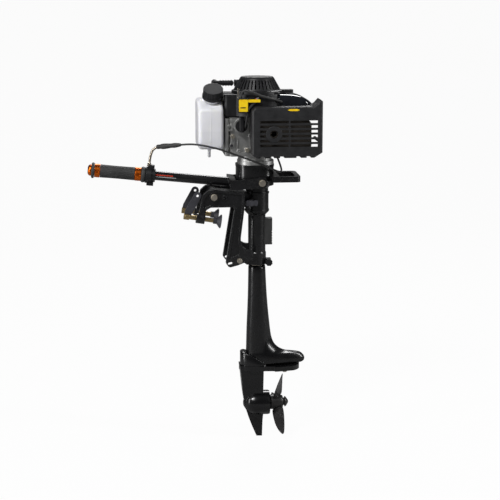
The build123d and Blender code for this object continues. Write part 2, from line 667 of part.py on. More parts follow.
with BuildPart() as grip_rubber:
    rod(on_tiller(rubber_start), on_tiller(rubber_end), 17.0, 13.0)
    for start, end, radius in ((grip_start, ring_1, 20.5), (ring_2_end, flange_end, 20.5)):
        rod(on_tiller(start), on_tiller(end), radius, tiller_radius + running_gap)
    rod(on_tiller(ring_1), on_tiller(ring_2_end), 13.0, tiller_radius + running_gap)
save(grip_rubber.part, "grip_rubber")

with BuildPart() as grip_trim:
    rod(on_tiller(ring_1 + 1), on_tiller(rubber_start - 1), 17.6, 13.0)
    rod(on_tiller(rubber_end + 1), on_tiller(ring_2_end - 1), 17.6, 13.0)
    with BuildSketch(Plane(origin=on_tiller(flange_end), x_dir=(0, 1, 0), z_dir=tiller_dir)) as base:
        Circle(14.5)
    with BuildSketch(Plane(origin=on_tiller(grip_end), x_dir=(0, 1, 0), z_dir=tiller_dir)) as tip:
        Circle(11)
    loft([base.sketch, tip.sketch])
save(grip_trim.part, "grip_trim")

# Throttle cable: a bent metal pipe, a rubber boot and the cable to the carburettor
boot_start = (-165.9, -12.0, 154.7)
boot_end = (-106.0, -42.0, 163.0)
elbow_route = [
    on_tiller(234.5, 24.2), on_tiller(234.5, 43), (-181.5, -3, 139), (-174.5, -7.5, 150), boot_start,
]
cable_start = (-105.91, -42.045, 163.012)
cable_route = [
    cable_start, (-84.7, -52.7, 166), (-60, -69, 165.5), (-30, -78, 160.5), (5, -81, 150.5), (40, -80, 137),
    (74, -76, 124), (104, -67, 111), (130, -55, 98), (150, -36, 88), (160, -8, 86.5), (160, 18, 97),
    (153, 37, 119), (142, 50, 141), (130, 61, 162.4),
]
cable_radius = 2.5


def rounded_route(points, share=0.45):
    """Straight runs joined by arcs as large as the two runs beside each corner allow."""
    radii = []
    for before, here, after in zip(points, points[1:], points[2:]):
        arriving = Vector(*here) - Vector(*before)
        leaving = Vector(*after) - Vector(*here)
        turn = arriving.get_angle(leaving)
        radii.append(share * min(arriving.length, leaving.length) / tan(radians(turn / 2)))
    print("radii of the arcs", [round(radius) for radius in radii])
    return radii


def pipe(points, radius):
    radii = rounded_route(points)
    with BuildLine() as route:
        FilletPolyline(*points, radius=radii)
    first = Vector(*points[1]) - Vector(*points[0])
    with BuildSketch(Plane(origin=points[0], z_dir=first)) as section:
        Circle(radius)
    sweep(section.sketch, path=route.line)


with BuildPart() as cable_elbow:
    pipe(elbow_route, 3.2)
    hexagon(on_tiller(234.5, 27.2), on_tiller(234.5, 33.5), 11)
    rod(on_tiller(234.5, 33.5), on_tiller(234.5, 39), 4.6)
save(cable_elbow.part, "cable_elbow")

with BuildPart() as cable_boot:
    along = Vector(*boot_end) - Vector(*boot_start)
    for start, end, radius in ((0.0, 0.14, 5.6), (0.14, 0.86, 6.4), (0.86, 1.0, 4.6)):
        rod(tuple(Vector(*boot_start) + along * start), tuple(Vector(*boot_start) + along * end), radius)

save(cable_boot.part, "cable_boot")

with BuildPart() as throttle_cable:
    pipe(cable_route, cable_radius)
save(throttle_cable.part, "throttle_cable")

# ------------------------------------------------------------------- engine

case_side = 46.0
bore_radius = 23.0
crank_throw = 15.0
rod_length = 55.0
case_aft = 132.0
journal = 8.0
filler_x = 49.0
filler_z = 211.0

with BuildPart() as crankcase:
    block((44, -46, head_top), (138, 46, 117), 36)
    block((46, -42, 117), (132, 42, 131), 32)
    block((16, -case_side, 131), (case_aft, case_side, case_top), 12)
    block((8, -50, 133), (17, 50, case_top - 3), 2)
    for z in (137, 226):
        block((14, -50, z - 4), (case_aft, 50, z + 4), 12)
    rod((filler_x, -40, filler_z), (filler_x, -57, filler_z), 19)
    rod((20, -40, 206), (20, -54, 206), 8.5)
    rod((27, -40, 184), (27, -52, 184), 6)
    for x, z in ((64, 148), (92, 148), (118, 148), (92, 222), (118, 222)):
        rod((x, -40, z), (x, -51, z), 6.5)
    # crank chamber, cylinder mouth, main bearings, filler and the dark blind hole
    rod((steer_x, 0, 140), (steer_x, 0, 226), 36, mode=Mode.SUBTRACT)
    rod((steer_x, 0, crank_z), (case_aft + 1, 0, crank_z), bore_radius + 2, mode=Mode.SUBTRACT)
    rod((steer_x, 0, 100), (steer_x, 0, 240), journal + running_gap, mode=Mode.SUBTRACT)
    rod((steer_x, 0, 100), (steer_x, 0, 112), chamber_radius - 4, mode=Mode.SUBTRACT)
    rod((filler_x, -62, filler_z), (filler_x, -30, filler_z), 12, mode=Mode.SUBTRACT)
    rod((20, -60, 206), (20, -44, 206), 4.2, mode=Mode.SUBTRACT)
save(crankcase.part, "crankcase")

with BuildPart() as crankshaft:
    rod((steer_x, 0, 100), (steer_x, 0, 158), journal)
    rod((steer_x, 0, 210), (steer_x, 0, 300), journal)
    for z in (158, 199):
        rod((steer_x, 0, z), (steer_x, 0, z + 11), 31)
    rod((steer_x + crank_throw, 0, 169), (steer_x + crank_throw, 0, 199), 7)
save(crankshaft.part, "crankshaft")

# Centrifugal clutch: two shoes on the crankshaft inside a drum on the drive shaft
with BuildPart() as clutch_shoes:
    rod((steer_x, 0, 74), (steer_x, 0, 100), 10)
    rod((steer_x, 0, 76), (steer_x, 0, 98), 28.5)
    block((steer_x - 30, -2, 75), (steer_x - 12, 2, 101), mode=Mode.SUBTRACT)
    block((steer_x + 12, -2, 75), (steer_x + 30, 2, 101), mode=Mode.SUBTRACT)
    for side in (-1, 1):
        rod((steer_x, side * 18, 75), (steer_x, side * 18, 99), 4, mode=Mode.SUBTRACT)
save(clutch_shoes.part, "clutch_shoes")

with BuildPart() as clutch_drum:
    rod((steer_x, 0, shaft_top), (steer_x, 0, shaft_top + 3), 33)
    rod((steer_x, 0, shaft_top + 3), (steer_x, 0, 103), 33, 30)
    rod((steer_x, 0, 60), (steer_x, 0, shaft_top + 1), 9, shaft_radius)
save(clutch_drum.part, "clutch_drum")

piston_pin = steer_x + crank_throw + rod_length
with BuildPart() as connecting_rod:
    rod((steer_x + crank_throw, 0, crank_z - 8), (steer_x + crank_throw, 0, crank_z + 8), 12)
    rod((piston_pin, 0, crank_z - 8), (piston_pin, 0, crank_z + 8), 8)
    block((steer_x + crank_throw, -5, crank_z - 3), (piston_pin, 5, crank_z + 3))
    rod((steer_x + crank_throw, 0, 160), (steer_x + crank_throw, 0, 205), 7 + running_gap, mode=Mode.SUBTRACT)
    rod((piston_pin, 0, 160), (piston_pin, 0, 205), 5 + running_gap, mode=Mode.SUBTRACT)
save(connecting_rod.part, "connecting_rod")

with BuildPart() as piston:
    rod((piston_pin - 14, 0, crank_z), (piston_pin + 14, 0, crank_z), bore_radius - running_gap)
    rod((piston_pin - 15, 0, crank_z), (piston_pin + 9, 0, crank_z), bore_radius - 3, mode=Mode.SUBTRACT)
    for step in range(2):
        at = piston_pin + 6 + 4 * step
        rod((at, 0, crank_z), (at + 1.5, 0, crank_z), bore_radius + 1, bore_radius - 1.2, mode=Mode.SUBTRACT)
    rod((piston_pin, 0, crank_z - 19.5), (piston_pin, 0, crank_z + 19.5), 5)
save(piston.part, "piston")

barrel_end = 182.0
fin_half = 42.0
fin_thick = 2.2
with BuildPart() as cylinder:
    rod((case_aft, 0, crank_z), (barrel_end, 0, crank_z), 28)
    with BuildSketch(Plane.YZ.offset(case_aft)) as foot:
        with Locations((0, crank_z)):
            RectangleRounded(70, 70, 8)
    extrude(foot.sketch, amount=5)
    for step in range(6):
        with BuildSketch(Plane.YZ.offset(141 + 7 * step)) as fin:
            with Locations((0, crank_z)):
                RectangleRounded(2 * fin_half, 2 * fin_half, 10)
        extrude(fin.sketch, amount=fin_thick)
    for side in (-1, 1):
        block((149, min(side * 25, side * 46), crank_z - 14), (171, max(side * 25, side * 46), crank_z + 14))
    rod((case_aft - 1, 0, crank_z), (barrel_end + 1, 0, crank_z), bore_radius, mode=Mode.SUBTRACT)
    rod((160, -50, crank_z), (160, 50, crank_z), 8, mode=Mode.SUBTRACT)
save(cylinder.part, "cylinder")

with BuildPart() as cylinder_head:
    with BuildSketch(Plane.YZ.offset(barrel_end)) as deck:
        with Locations((0, crank_z)):
            RectangleRounded(76, 76, 9)
    extrude(deck.sketch, amount=8)
    rod((barrel_end + 8, 0, crank_z), (206, 0, crank_z), 18)
    for step in range(3):
        with BuildSketch(Plane.YZ.offset(193.5 + 5 * step)) as fin:
            with Locations((0, crank_z)):
                RectangleRounded(78 - 8 * step, 78 - 8 * step, 10)
        extrude(fin.sketch, amount=fin_thick)
    rod((barrel_end - 1, 0, crank_z), (barrel_end + 4, 0, crank_z), 20, mode=Mode.SUBTRACT)
    rod((barrel_end, 0, crank_z), (210, 0, crank_z), 5, mode=Mode.SUBTRACT)
save(cylinder_head.part, "cylinder_head")

with BuildPart() as spark_plug:
    rod((188, 0, crank_z), (206, 0, crank_z), 5)
    hexagon((206, 0, crank_z), (213, 0, crank_z), 16)
    rod((213, 0, crank_z), (236, 0, crank_z), 8.5)
    rod((230, 0, crank_z - 4), (230, 0, crank_z + 24), 5.5)
save(spark_plug.part, "spark_plug")

# Flywheel with fan blades, its housing and the glossy hood over the cylinder
fan_floor = 236.0
fan_radius = 62.0
with BuildPart() as flywheel:
    rod((steer_x, 0, 247), (steer_x, 0, 256), fan_radius)
    rod((steer_x, 0, 242), (steer_x, 0, 278), 15)
    for number in range(16):
        with BuildSketch(Plane.XY.offset(256)) as blade:
            with Locations(Location((steer_x, 0, 0), (0, 0, number * 22.5))):
                with Locations((46, 0)):
                    Rectangle(28, 3)
        extrude(blade.sketch, amount=20)
    rod((steer_x, 0, 240), (steer_x, 0, 280), journal, mode=Mode.SUBTRACT)
save(flywheel.part, "flywheel")


def fan_outline(inset):
    """A round volute with a square front and a duct that opens aft."""
    with Locations((steer_x, 0)):
        Circle(79 - inset)
    with Locations((38, 0)):
        RectangleRounded(64 - 2 * inset, 106 - 2 * inset, 10 - inset)
    with Locations((118, 0)):
        Rectangle(46, 118 - 2 * inset)


with BuildPart() as fan_housing:
    with BuildSketch(Plane.XY.offset(fan_floor)) as outer_wall:
        fan_outline(0)
        split(bisect_by=Plane.YZ.offset(140), keep=Keep.BOTTOM)
    extrude(outer_wall.sketch, amount=fan_top - fan_floor)
    block((6.6, -54, fan_top - 7), (30, 54, fan_top), 8)
    with BuildSketch(Plane.XY.offset(fan_floor + 3)) as inner_wall:
        fan_outline(3)
    extrude(inner_wall.sketch, amount=fan_top - fan_floor - 6, mode=Mode.SUBTRACT)
    rod((steer_x, 0, fan_top - 5), (steer_x, 0, fan_top + 1), 54, mode=Mode.SUBTRACT)
    rod((steer_x, 0, fan_floor - 1), (steer_x, 0, fan_floor + 5), 22, mode=Mode.SUBTRACT)
    for x, y in ((40, -30), (40, 30), (124, -30), (124, 30)):
        rod((x, y, case_top), (x, y, fan_floor + 4), 6)
save(fan_housing.part, "fan_housing")

hood_front = 141.5
hood_profile = [
    (hood_front, 234), (hood_front, 290.5), (192, 290.5), (226, 280), (243, 262), (247, 246), (247, 234),
]
with BuildPart() as cylinder_shroud:
    with BuildSketch(side_plane(60)) as skin:
        Polygon(*hood_profile, align=None)
        fillet(skin.vertices().sort_by(Axis.X)[2:5], 10)
    extrude(skin.sketch, amount=120)

    with BuildSketch(side_plane(57.5)) as inside:
        Polygon(
            (hood_front - 1, 233), (hood_front - 1, 288), (191, 288), (225, 277.5), (240.8, 261), (244.5, 245), (244.5, 233),
            align=None,
        )
        fillet(inside.vertices().sort_by(Axis.X)[2:4], 8)
    extrude(inside.sketch, amount=115, mode=Mode.SUBTRACT)
save(cylinder_shroud.part, "cylinder_shroud")

# Recoil starter: slotted cover, rope reel, rope and handle
recoil_base = 66.0
recoil_tip = 44.0
rope_y = 24.0
rope_z = 315.0
rope_radius = 2.0
handle_x = 35.0
with BuildPart() as recoil_cover:
    with BuildSketch(Plane.XZ) as dome:
        with Locations((steer_x, 0)):
            Polygon(
                (0, recoil_top), (recoil_tip - 3, recoil_top), (recoil_tip, recoil_top - 3), (recoil_base - 5, 300),
                (recoil_base, 298), (recoil_base, fan_top), (recoil_base - 6, fan_top), (recoil_base - 8, 297),
                (recoil_tip - 3.5, recoil_top - 4), (0, recoil_top - 4), align=None,
            )
    revolve(dome.sketch, Axis((steer_x, 0, 0), (0, 0, 1)), 360)
    block((steer_x + 58, -13, fan_top), (189, 13, fan_top + 8), 6)
    for x, y in ((48, -48), (48, 48), (142, -48), (142, 48)):
        rod((x, y, fan_top), (x, y, fan_top + 5), 8)
    rod((56, rope_y, rope_z), (38, rope_y, rope_z), 9)
    rod((80, rope_y, rope_z), (30, rope_y, rope_z), rope_radius + 0.4, mode=Mode.SUBTRACT)
    rod((steer_x, 0, 300), (steer_x, 0, recoil_top - 1), 6)
    # cooling slots around the slope
    for number in range(36):
        if 15 <= number <= 20:
            continue
        turn = radians(number * 10)
        out = (cos(turn), sin(turn), 0)
        with BuildSketch(Plane(origin=(steer_x, 0, 303), x_dir=out, z_dir=(0, 0, 1))) as gap:
            with Locations((52, 0)):
                Rectangle(30, 3.4)
        extrude(gap.sketch, amount=23, mode=Mode.SUBTRACT)
save(recoil_cover.part, "recoil_cover")

with BuildPart() as starter_reel:
    rod((steer_x, 0, rope_z - 5.5), (steer_x, 0, rope_z - 3), 40)
    rod((steer_x, 0, rope_z + 3), (steer_x, 0, rope_z + 5.5), 40)
    rod((steer_x, 0, rope_z - 5.5), (steer_x, 0, rope_z + 5.5), rope_y - rope_radius - 0.3)
    rod((steer_x, 0, rope_z - 10), (steer_x, 0, rope_z + 10), 6 + running_gap, mode=Mode.SUBTRACT)
save(starter_reel.part, "starter_reel")

with BuildPart() as starter_handle:
    rod((handle_x, rope_y, rope_z), (-9, rope_y, rope_z), 6.2)
    for step in range(5):
        at = handle_x - 3 - 7 * step
        rod((at, rope_y, rope_z), (at - 3.5, rope_y, rope_z), 7.8)
    rod((-12, rope_y - 24, rope_z), (-12, rope_y + 24, rope_z), 8)
    for side in (-1, 1):
        rod((-12, rope_y + side * 20, rope_z), (-12, rope_y + side * 27, rope_z), 6.5)
    rod((handle_x + 1, rope_y, rope_z), (4, rope_y, rope_z), rope_radius, mode=Mode.SUBTRACT)
save(starter_handle.part, "starter_handle")

with BuildPart() as starter_rope:
    rod((60, rope_y, rope_z), (4, rope_y, rope_z), rope_radius)
save(starter_rope.part, "starter_rope")

# Ignition coil and its lead
with BuildPart() as ignition_coil:
    block((38, -90, 247), (63, -74, 283), 2)
    block((42, -75, 254), (59, -58, 276))
    rod((46, -82, 283), (46, -82, 288), 5)
    with BuildSketch(Plane.XY.offset(fan_floor)) as wall:
        with Locations((steer_x, 0)):
            Circle(79.2)
        with Locations((38, 0)):
            Rectangle(70, 108.4)
    extrude(wall.sketch, amount=fan_top - fan_floor, mode=Mode.SUBTRACT)
save(ignition_coil.part, "ignition_coil")

lead_route = [
    (46, -82, 288), (46, -82, 296), (51, -83.5, 302), (61, -86, 303.5), (76, -89, 298), (96, -88, 290),
    (116, -85, 284), (136, -77, 279), (152, -60.3, 272),
]
with BuildPart() as ignition_lead:
    pipe(lead_route, 3.0)
save(ignition_lead.part, "ignition_lead")

# Muffler on the port side behind a slotted guard
outlet_x = 126.5
outlet_z = 195.0
guard_out = -114.0
guard_in = -61.0
with BuildPart() as muffler:
    with BuildSketch(side_plane(-62)) as can:
        with Locations((154, 191)):
            RectangleRounded(140, 80, 16)
    extrude(can.sketch, amount=38)
    with BuildSketch(side_plane(-64)) as chamber:
        with Locations((154, 191)):
            RectangleRounded(136, 76, 14)
    extrude(chamber.sketch, amount=34, mode=Mode.SUBTRACT)
    block((147, -63, crank_z - 13), (173, -46, crank_z + 13))
    rod((outlet_x, -99, outlet_z), (outlet_x, -110, outlet_z), 9.5)
    rod((outlet_x, -112, outlet_z), (outlet_x, -90, outlet_z), 7.5, mode=Mode.SUBTRACT)
save(muffler.part, "muffler")

guard_outline = [
    (71, 142), (84, 134), (230, 134), (251, 147), (251, 277), (245, 282), (236, 272), (224, 263), (80, 263), (71, 255),
]
with BuildPart() as muffler_guard:
    ring_of(guard_outline, side_plane(guard_in), guard_in - guard_out)
    far_face = muffler_guard.faces().sort_by(Axis.Y)[0]
    chamfer(far_face.edges(), 4)
    with BuildSketch(side_plane(guard_in + 1)) as hollow:
        Polygon(*guard_outline, align=None)
        offset(amount=-2.6)
    extrude(hollow.sketch, amount=guard_in - guard_out + 1 - 2.6, mode=Mode.SUBTRACT)
    for step in range(6):
        z = 226 - 12 * step
        with BuildSketch(side_plane(guard_out + 5)) as vents:
            for low, high in ((91, 164), (168, 238)):
                with Locations(((low + high) / 2, z)):
                    Rectangle(high - low, 6.5)
            with Locations((outlet_x, outlet_z)):
                Circle(21, mode=Mode.SUBTRACT)
        extrude(vents.sketch, amount=8, mode=Mode.SUBTRACT)
        block((244, -104, z - 3.2), (254, -62, z + 3.2), mode=Mode.SUBTRACT)
    rod((steer_x, 0, case_top), (steer_x, 0, fan_top), 81.5, mode=Mode.SUBTRACT)
    rod((outlet_x, guard_out + 3, outlet_z), (outlet_x, guard_out - 1.5, outlet_z), 20)
    rod((outlet_x, guard_out + 4, outlet_z), (outlet_x, guard_out - 3, outlet_z), 10.5, mode=Mode.SUBTRACT)
    for x in (92, 116, 142, 184, 210):
        block((x, guard_out - 1, 130), (x + 12, guard_in - 8, 138.5), mode=Mode.SUBTRACT)
    for x in (79, 238):
        rod((x, guard_in - 0.5, 180), (x, guard_out + 2, 180), 4)
save(muffler_guard.part, "muffler_guard")

# Carburettor, throttle lever and air filter on the starboard side
lever_y = 76.0
lever_z = 192.0
lever_x = 136.0
with BuildPart() as carburettor:
    block((146, 46, crank_z - 15), (174, 60, crank_z + 15))
    block((142, 60, crank_z - 14), (178, 97, crank_z + 18), 3)
    rod((160, 78, 152), (160, 78, crank_z - 12), 16.5)
    block((120, 54, 164), (152, 74, 167))
    rod((160, 40, crank_z), (160, 100, crank_z), 8, mode=Mode.SUBTRACT)
    rod((lever_x - 2, lever_y, lever_z), (160, lever_y, lever_z), 3 + running_gap, mode=Mode.SUBTRACT)
save(carburettor.part, "carburettor")

with BuildPart() as throttle_lever:
    rod((lever_x - 4, lever_y, lever_z), (152, lever_y, lever_z), 3)
    with BuildSketch(Plane.YZ.offset(lever_x - 3)) as arm:
        with BuildLine():
            Polyline((lever_y - 6, lever_z), (lever_y - 18, lever_z - 3), (lever_y - 18, lever_z + 5),
                     (lever_y, lever_z + 6), (lever_y + 6, lever_z), (lever_y, lever_z - 6), (lever_y - 6, lever_z))
        make_face()
    extrude(arm.sketch, amount=3)
save(throttle_lever.part, "throttle_lever")

with BuildPart() as air_filter_case:
    with BuildSketch(side_plane(124)) as case:
        with Locations((160, 192)):
            RectangleRounded(94, 84, 12)
    extrude(case.sketch, amount=26.5)
    fillet(air_filter_case.faces().sort_by(Axis.Y)[-1].edges(), 6)
    for step in range(4):
        z = 172 + 13 * step
        block((126, 122, z), (194, 126, z + 4), mode=Mode.SUBTRACT)
    rod((160, 90, crank_z), (160, 110, crank_z), 8, mode=Mode.SUBTRACT)
save(air_filter_case.part, "air_filter_case")

# ---------------------------------------------------------------- fuel and oil

tank_front = -62.5
tank_back = 4.0
tank_side = 62.0
tank_bottom = 151.0
tank_top = 277.0
tank_wall = 3.0
cap_tilt = 30.0
cap_base = (-22.0, -31.0, 284.0)
cap_dir = Vector(0, -sin(radians(cap_tilt)), cos(radians(cap_tilt)))


def along_cap(distance):
    return tuple(Vector(*cap_base) + cap_dir * distance)


def tank_section(inset, slope):
    side = tank_side - inset
    Polygon(
        (-side, tank_bottom + inset), (side, tank_bottom + inset), (side, tank_top - inset),
        (-24 + slope, tank_top - inset), (-side, 254 - inset + slope), align=None,
    )


with BuildPart() as fuel_tank:
    with BuildSketch(Plane.YZ.offset(tank_front)) as body:
        tank_section(0, 0)
        fillet(body.vertices(), 10)
    extrude(body.sketch, amount=tank_back - tank_front)
    fillet(fuel_tank.faces().sort_by(Axis.X)[0].edges(), 7)
    fillet(fuel_tank.faces().sort_by(Axis.X)[-1].edges(), 5)
    rod(along_cap(-16), along_cap(4), 20)
    nipple = (-32.0, -30.0)
    rod((*nipple, 128), (*nipple, tank_bottom + 2), 4)
    with BuildSketch(Plane.YZ.offset(tank_front + tank_wall)) as cavity:
        tank_section(tank_wall, 0)
        fillet(cavity.vertices(), 7)
    extrude(cavity.sketch, amount=tank_back - tank_front - 2 * tank_wall, mode=Mode.SUBTRACT)
    rod(along_cap(-26), along_cap(5), 17, mode=Mode.SUBTRACT)
    rod((*nipple, 127), (*nipple, tank_bottom + 5), 2, mode=Mode.SUBTRACT)
save(fuel_tank.part, "fuel_tank")

with BuildPart() as fuel_cap:
    rod(along_cap(0.4), along_cap(6), 27.5)
    rod(along_cap(6), along_cap(25), 25.5)
    rod(along_cap(-0.5), along_cap(21), 20.4, mode=Mode.SUBTRACT)
    for number in range(24):
        turn = radians(number * 15)
        out = Vector(cos(turn), sin(turn) * cos(radians(cap_tilt)), sin(turn) * sin(radians(cap_tilt))) * 26.3
        rod(tuple(Vector(*along_cap(6.5)) + out), tuple(Vector(*along_cap(26)) + out), 1.7, mode=Mode.SUBTRACT)
save(fuel_cap.part, "fuel_cap")

with BuildPart() as oil_dipstick:
    rod((filler_x, -57.2, filler_z), (filler_x, -61, filler_z), 15.5)
    rod((filler_x, -35, filler_z), (filler_x, -58, filler_z), 12 - running_gap)
    block((filler_x - 6, -70, filler_z - 15), (filler_x + 6, -60, filler_z + 23), 3)
save(oil_dipstick.part, "oil_dipstick")

# ---------------------------------------------------------------- fasteners

with BuildPart() as hex_bolts:
    # tiller pivot bolts, with shoulders that the fork turns on
    for side in (-1, 1):
        rod((pivot_x, side * 38, pivot_z), (pivot_x, side * 50, pivot_z), 5)
        rod((pivot_x, side * 50, pivot_z), (pivot_x, side * 58.4, pivot_z), 6)
        rod((pivot_x, side * 58.4, pivot_z), (pivot_x, side * 60, pivot_z), 9)
        hexagon((pivot_x, side * 60, pivot_z), (pivot_x, side * 66, pivot_z), 14)
    # crankcase bolts on the port side
    for x, z, y in ((64, 148, -51), (92, 148, -51), (27, 184, -52)):
        rod((x, y, z), (x, y - 1.2, z), 6)
        hexagon((x, y - 1.2, z), (x, y - 6, z), bolt_flats)
    # bolts up through the anti-ventilation plate
    for side in (-1, 1):
        hexagon((168, side * 25, plate_bottom), (168, side * 25, plate_bottom - 5), bolt_flats)
save(hex_bolts.part, "hex_bolts")
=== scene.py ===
import math

import bmesh
import bpy
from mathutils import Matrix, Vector


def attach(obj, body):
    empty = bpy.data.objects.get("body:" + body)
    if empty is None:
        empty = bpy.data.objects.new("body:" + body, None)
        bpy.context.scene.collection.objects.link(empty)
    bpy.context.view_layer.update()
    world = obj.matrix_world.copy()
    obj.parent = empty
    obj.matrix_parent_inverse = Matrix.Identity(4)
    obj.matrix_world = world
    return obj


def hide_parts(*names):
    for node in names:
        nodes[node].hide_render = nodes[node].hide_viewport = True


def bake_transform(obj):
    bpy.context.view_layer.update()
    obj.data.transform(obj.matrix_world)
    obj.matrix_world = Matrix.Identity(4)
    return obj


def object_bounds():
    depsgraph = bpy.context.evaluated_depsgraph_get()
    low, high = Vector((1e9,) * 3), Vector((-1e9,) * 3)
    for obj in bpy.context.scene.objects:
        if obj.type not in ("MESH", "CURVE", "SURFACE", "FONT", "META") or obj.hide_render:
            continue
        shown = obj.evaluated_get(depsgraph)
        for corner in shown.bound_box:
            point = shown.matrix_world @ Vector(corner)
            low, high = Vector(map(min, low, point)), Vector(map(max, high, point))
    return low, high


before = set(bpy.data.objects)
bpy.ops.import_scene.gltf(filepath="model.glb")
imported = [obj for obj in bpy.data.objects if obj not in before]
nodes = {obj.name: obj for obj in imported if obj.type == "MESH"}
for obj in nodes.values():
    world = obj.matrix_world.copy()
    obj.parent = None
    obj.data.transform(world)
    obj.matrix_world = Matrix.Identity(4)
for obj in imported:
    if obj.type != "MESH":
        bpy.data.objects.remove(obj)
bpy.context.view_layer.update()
mm = 0.001


# camera, light and floor

def makeCamera():
    # Looks from port, a little from ahead of the beam and from above.
    shot = {"azimuth": -6.0, "elevation": 11.4, "distance": 3.6, "target": (0.077, 0.0, -0.1245), "focal": 97.78}
    a = math.radians(shot["azimuth"])
    e = math.radians(shot["elevation"])
    back = Vector((math.sin(a) * math.cos(e), -math.cos(a) * math.cos(e), math.sin(e)))
    data = bpy.data.cameras.new("shot")
    data.sensor_width = 36.0
    data.lens = shot["focal"]
    data.clip_start = 0.1
    data.clip_end = 60.0
    cam = bpy.data.objects.new("shot", data)
    cam.location = Vector(shot["target"]) + back * shot["distance"]
    cam.rotation_mode = "QUATERNION"
    cam.rotation_quaternion = (-back).to_track_quat("-Z", "Y")
    bpy.context.scene.collection.objects.link(cam)
    bpy.context.scene.camera = cam


def areaLight(name, place, aim, size, power):
    data = bpy.data.lights.new(name, "AREA")
    data.shape = "RECTANGLE"
    data.size = size[0]
    data.size_y = size[1]
    data.energy = power
    lamp = bpy.data.objects.new(name, data)
    lamp.location = place
    lamp.rotation_mode = "QUATERNION"
    lamp.rotation_quaternion = (Vector(aim) - Vector(place)).to_track_quat("-Z", "Y")
    bpy.context.scene.collection.objects.link(lamp)
    lamp.visible_camera = False
    return lamp


def makeStudio():
    bpy.context.scene.view_settings.view_transform = "Standard"
    world = bpy.data.worlds.new("studio")
    bpy.context.scene.world = world
    world.use_nodes = True
    # the sky is white to the eye and dim as a source of light
    tree = world.node_tree
    seen = tree.nodes["Background"]
    seen.inputs["Color"].default_value = (1.0, 1.0, 1.0, 1.0)
    seen.inputs["Strength"].default_value = 1.0
    light = tree.nodes.new("ShaderNodeBackground")
    light.inputs["Color"].default_value = (0.95, 0.98, 1.0, 1.0)
    light.inputs["Strength"].default_value = 0.06
    path = tree.nodes.new("ShaderNodeLightPath")
    both = tree.nodes.new("ShaderNodeMixShader")
    tree.links.new(path.outputs["Is Camera Ray"], both.inputs[0])
    tree.links.new(light.outputs["Background"], both.inputs[1])
    tree.links.new(seen.outputs["Background"], both.inputs[2])
    tree.links.new(both.outputs[0], tree.nodes["World Output"].inputs["Surface"])
    low = frameLow[2] - 0.0005
    mesh = bpy.data.meshes.new("floor")
    bm = bmesh.new()
    reach = 9.0
    back = 5.0
    rise = 7.0
    steps = 16
    profile = [(-reach, low)]
    for i in range(steps + 1):
        t = math.pi / 2 * i / steps
        profile.append((back - 2.0 + 2.0 * math.sin(t), low + 2.0 - 2.0 * math.cos(t)))
    profile.append((back, low + rise))
    rows = []
    for x in (-reach, reach):
        rows.append([bm.verts.new((x, y, z)) for y, z in profile])
    for i in range(len(profile) - 1):
        bm.faces.new((rows[0][i], rows[1][i], rows[1][i + 1], rows[0][i + 1]))
    bm.to_mesh(mesh)
    bm.free()
    for face in mesh.polygons:
        face.use_smooth = True
    floor = bpy.data.objects.new("floor", mesh)
    bpy.context.scene.collection.objects.link(floor)
    mesh.materials.append(floorMaterial())
    aim = (0.05, 0.0, -0.1)
    areaLight("key", (-1.6, -2.4, 2.7), aim, (0.8, 0.9), 98)
    areaLight("rim", (2.4, -0.9, 0.9), aim, (0.3, 2.2), 44)
    areaLight("side", (-2.4, -0.9, 0.3), aim, (0.3, 2.0), 30)
    areaLight("back", (0.6, 2.6, 2.4), aim, (1.6, 1.0), 60)


# materials

def newMaterial(name):
    mat = bpy.data.materials.new(name)
    mat.use_nodes = True
    tree = mat.node_tree
    bsdf = tree.nodes["Principled BSDF"]
    coord = tree.nodes.new("ShaderNodeTexCoord")
    return mat, tree, bsdf, coord.outputs["Object"]


def noise(tree, vector, scale, detail=4.0, rough=0.55):
    n = tree.nodes.new("ShaderNodeTexNoise")
    n.inputs["Scale"].default_value = scale
    n.inputs["Detail"].default_value = detail
    n.inputs["Roughness"].default_value = rough
    tree.links.new(vector, n.inputs["Vector"])
    return n.outputs["Fac"]


def spread(tree, value, low, high, start=0.3, end=0.7):
    # Maps a value to a range.
    m = tree.nodes.new("ShaderNodeMapRange")
    m.inputs["From Min"].default_value = start
    m.inputs["From Max"].default_value = end
    m.inputs["To Min"].default_value = low
    m.inputs["To Max"].default_value = high
    tree.links.new(value, m.inputs["Value"])
    return m.outputs["Result"]


def mixColour(tree, value, a, b):
    m = tree.nodes.new("ShaderNodeMix")
    m.data_type = "RGBA"
    for socket, colour in ((6, a), (7, b)):
        if isinstance(colour, (tuple, list)):
            m.inputs[socket].default_value = (*colour[:3], 1.0)
        else:
            tree.links.new(colour, m.inputs[socket])
    tree.links.new(value, m.inputs[0])
    return m.outputs[2]


def softEdge(tree, bsdf, radius, height=None, strength=0.1, distance=0.0005):
    # Rounds the shading of sharp edges, under a bump.
    normal = None
    if radius:
        bevel = tree.nodes.new("ShaderNodeBevel")
        bevel.samples = 8
        bevel.inputs["Radius"].default_value = radius
        normal = bevel.outputs["Normal"]
    if height is not None:
        bump = tree.nodes.new("ShaderNodeBump")
        bump.inputs["Strength"].default_value = strength
        bump.inputs["Distance"].default_value = distance
        tree.links.new(height, bump.inputs["Height"])
        if normal is not None:
            tree.links.new(normal, bump.inputs["Normal"])
        normal = bump.outputs["Normal"]
    if normal is not None:
        tree.links.new(normal, bsdf.inputs["Normal"])


def wornEdge(tree, start, end):
    # 1 on outer edges, 0 elsewhere
    geo = tree.nodes.new("ShaderNodeNewGeometry")
    return spread(tree, geo.outputs["Pointiness"], 0.0, 1.0, start, end)


def matte(name, colour, rough):
    mat, tree, bsdf, place = newMaterial(name)
    tree.links.new(mixColour(tree, noise(tree, place, 3.0), colour, tuple(c * 0.98 for c in colour)),
        bsdf.inputs["Base Color"])
    bsdf.inputs["Roughness"].default_value = rough
    return mat


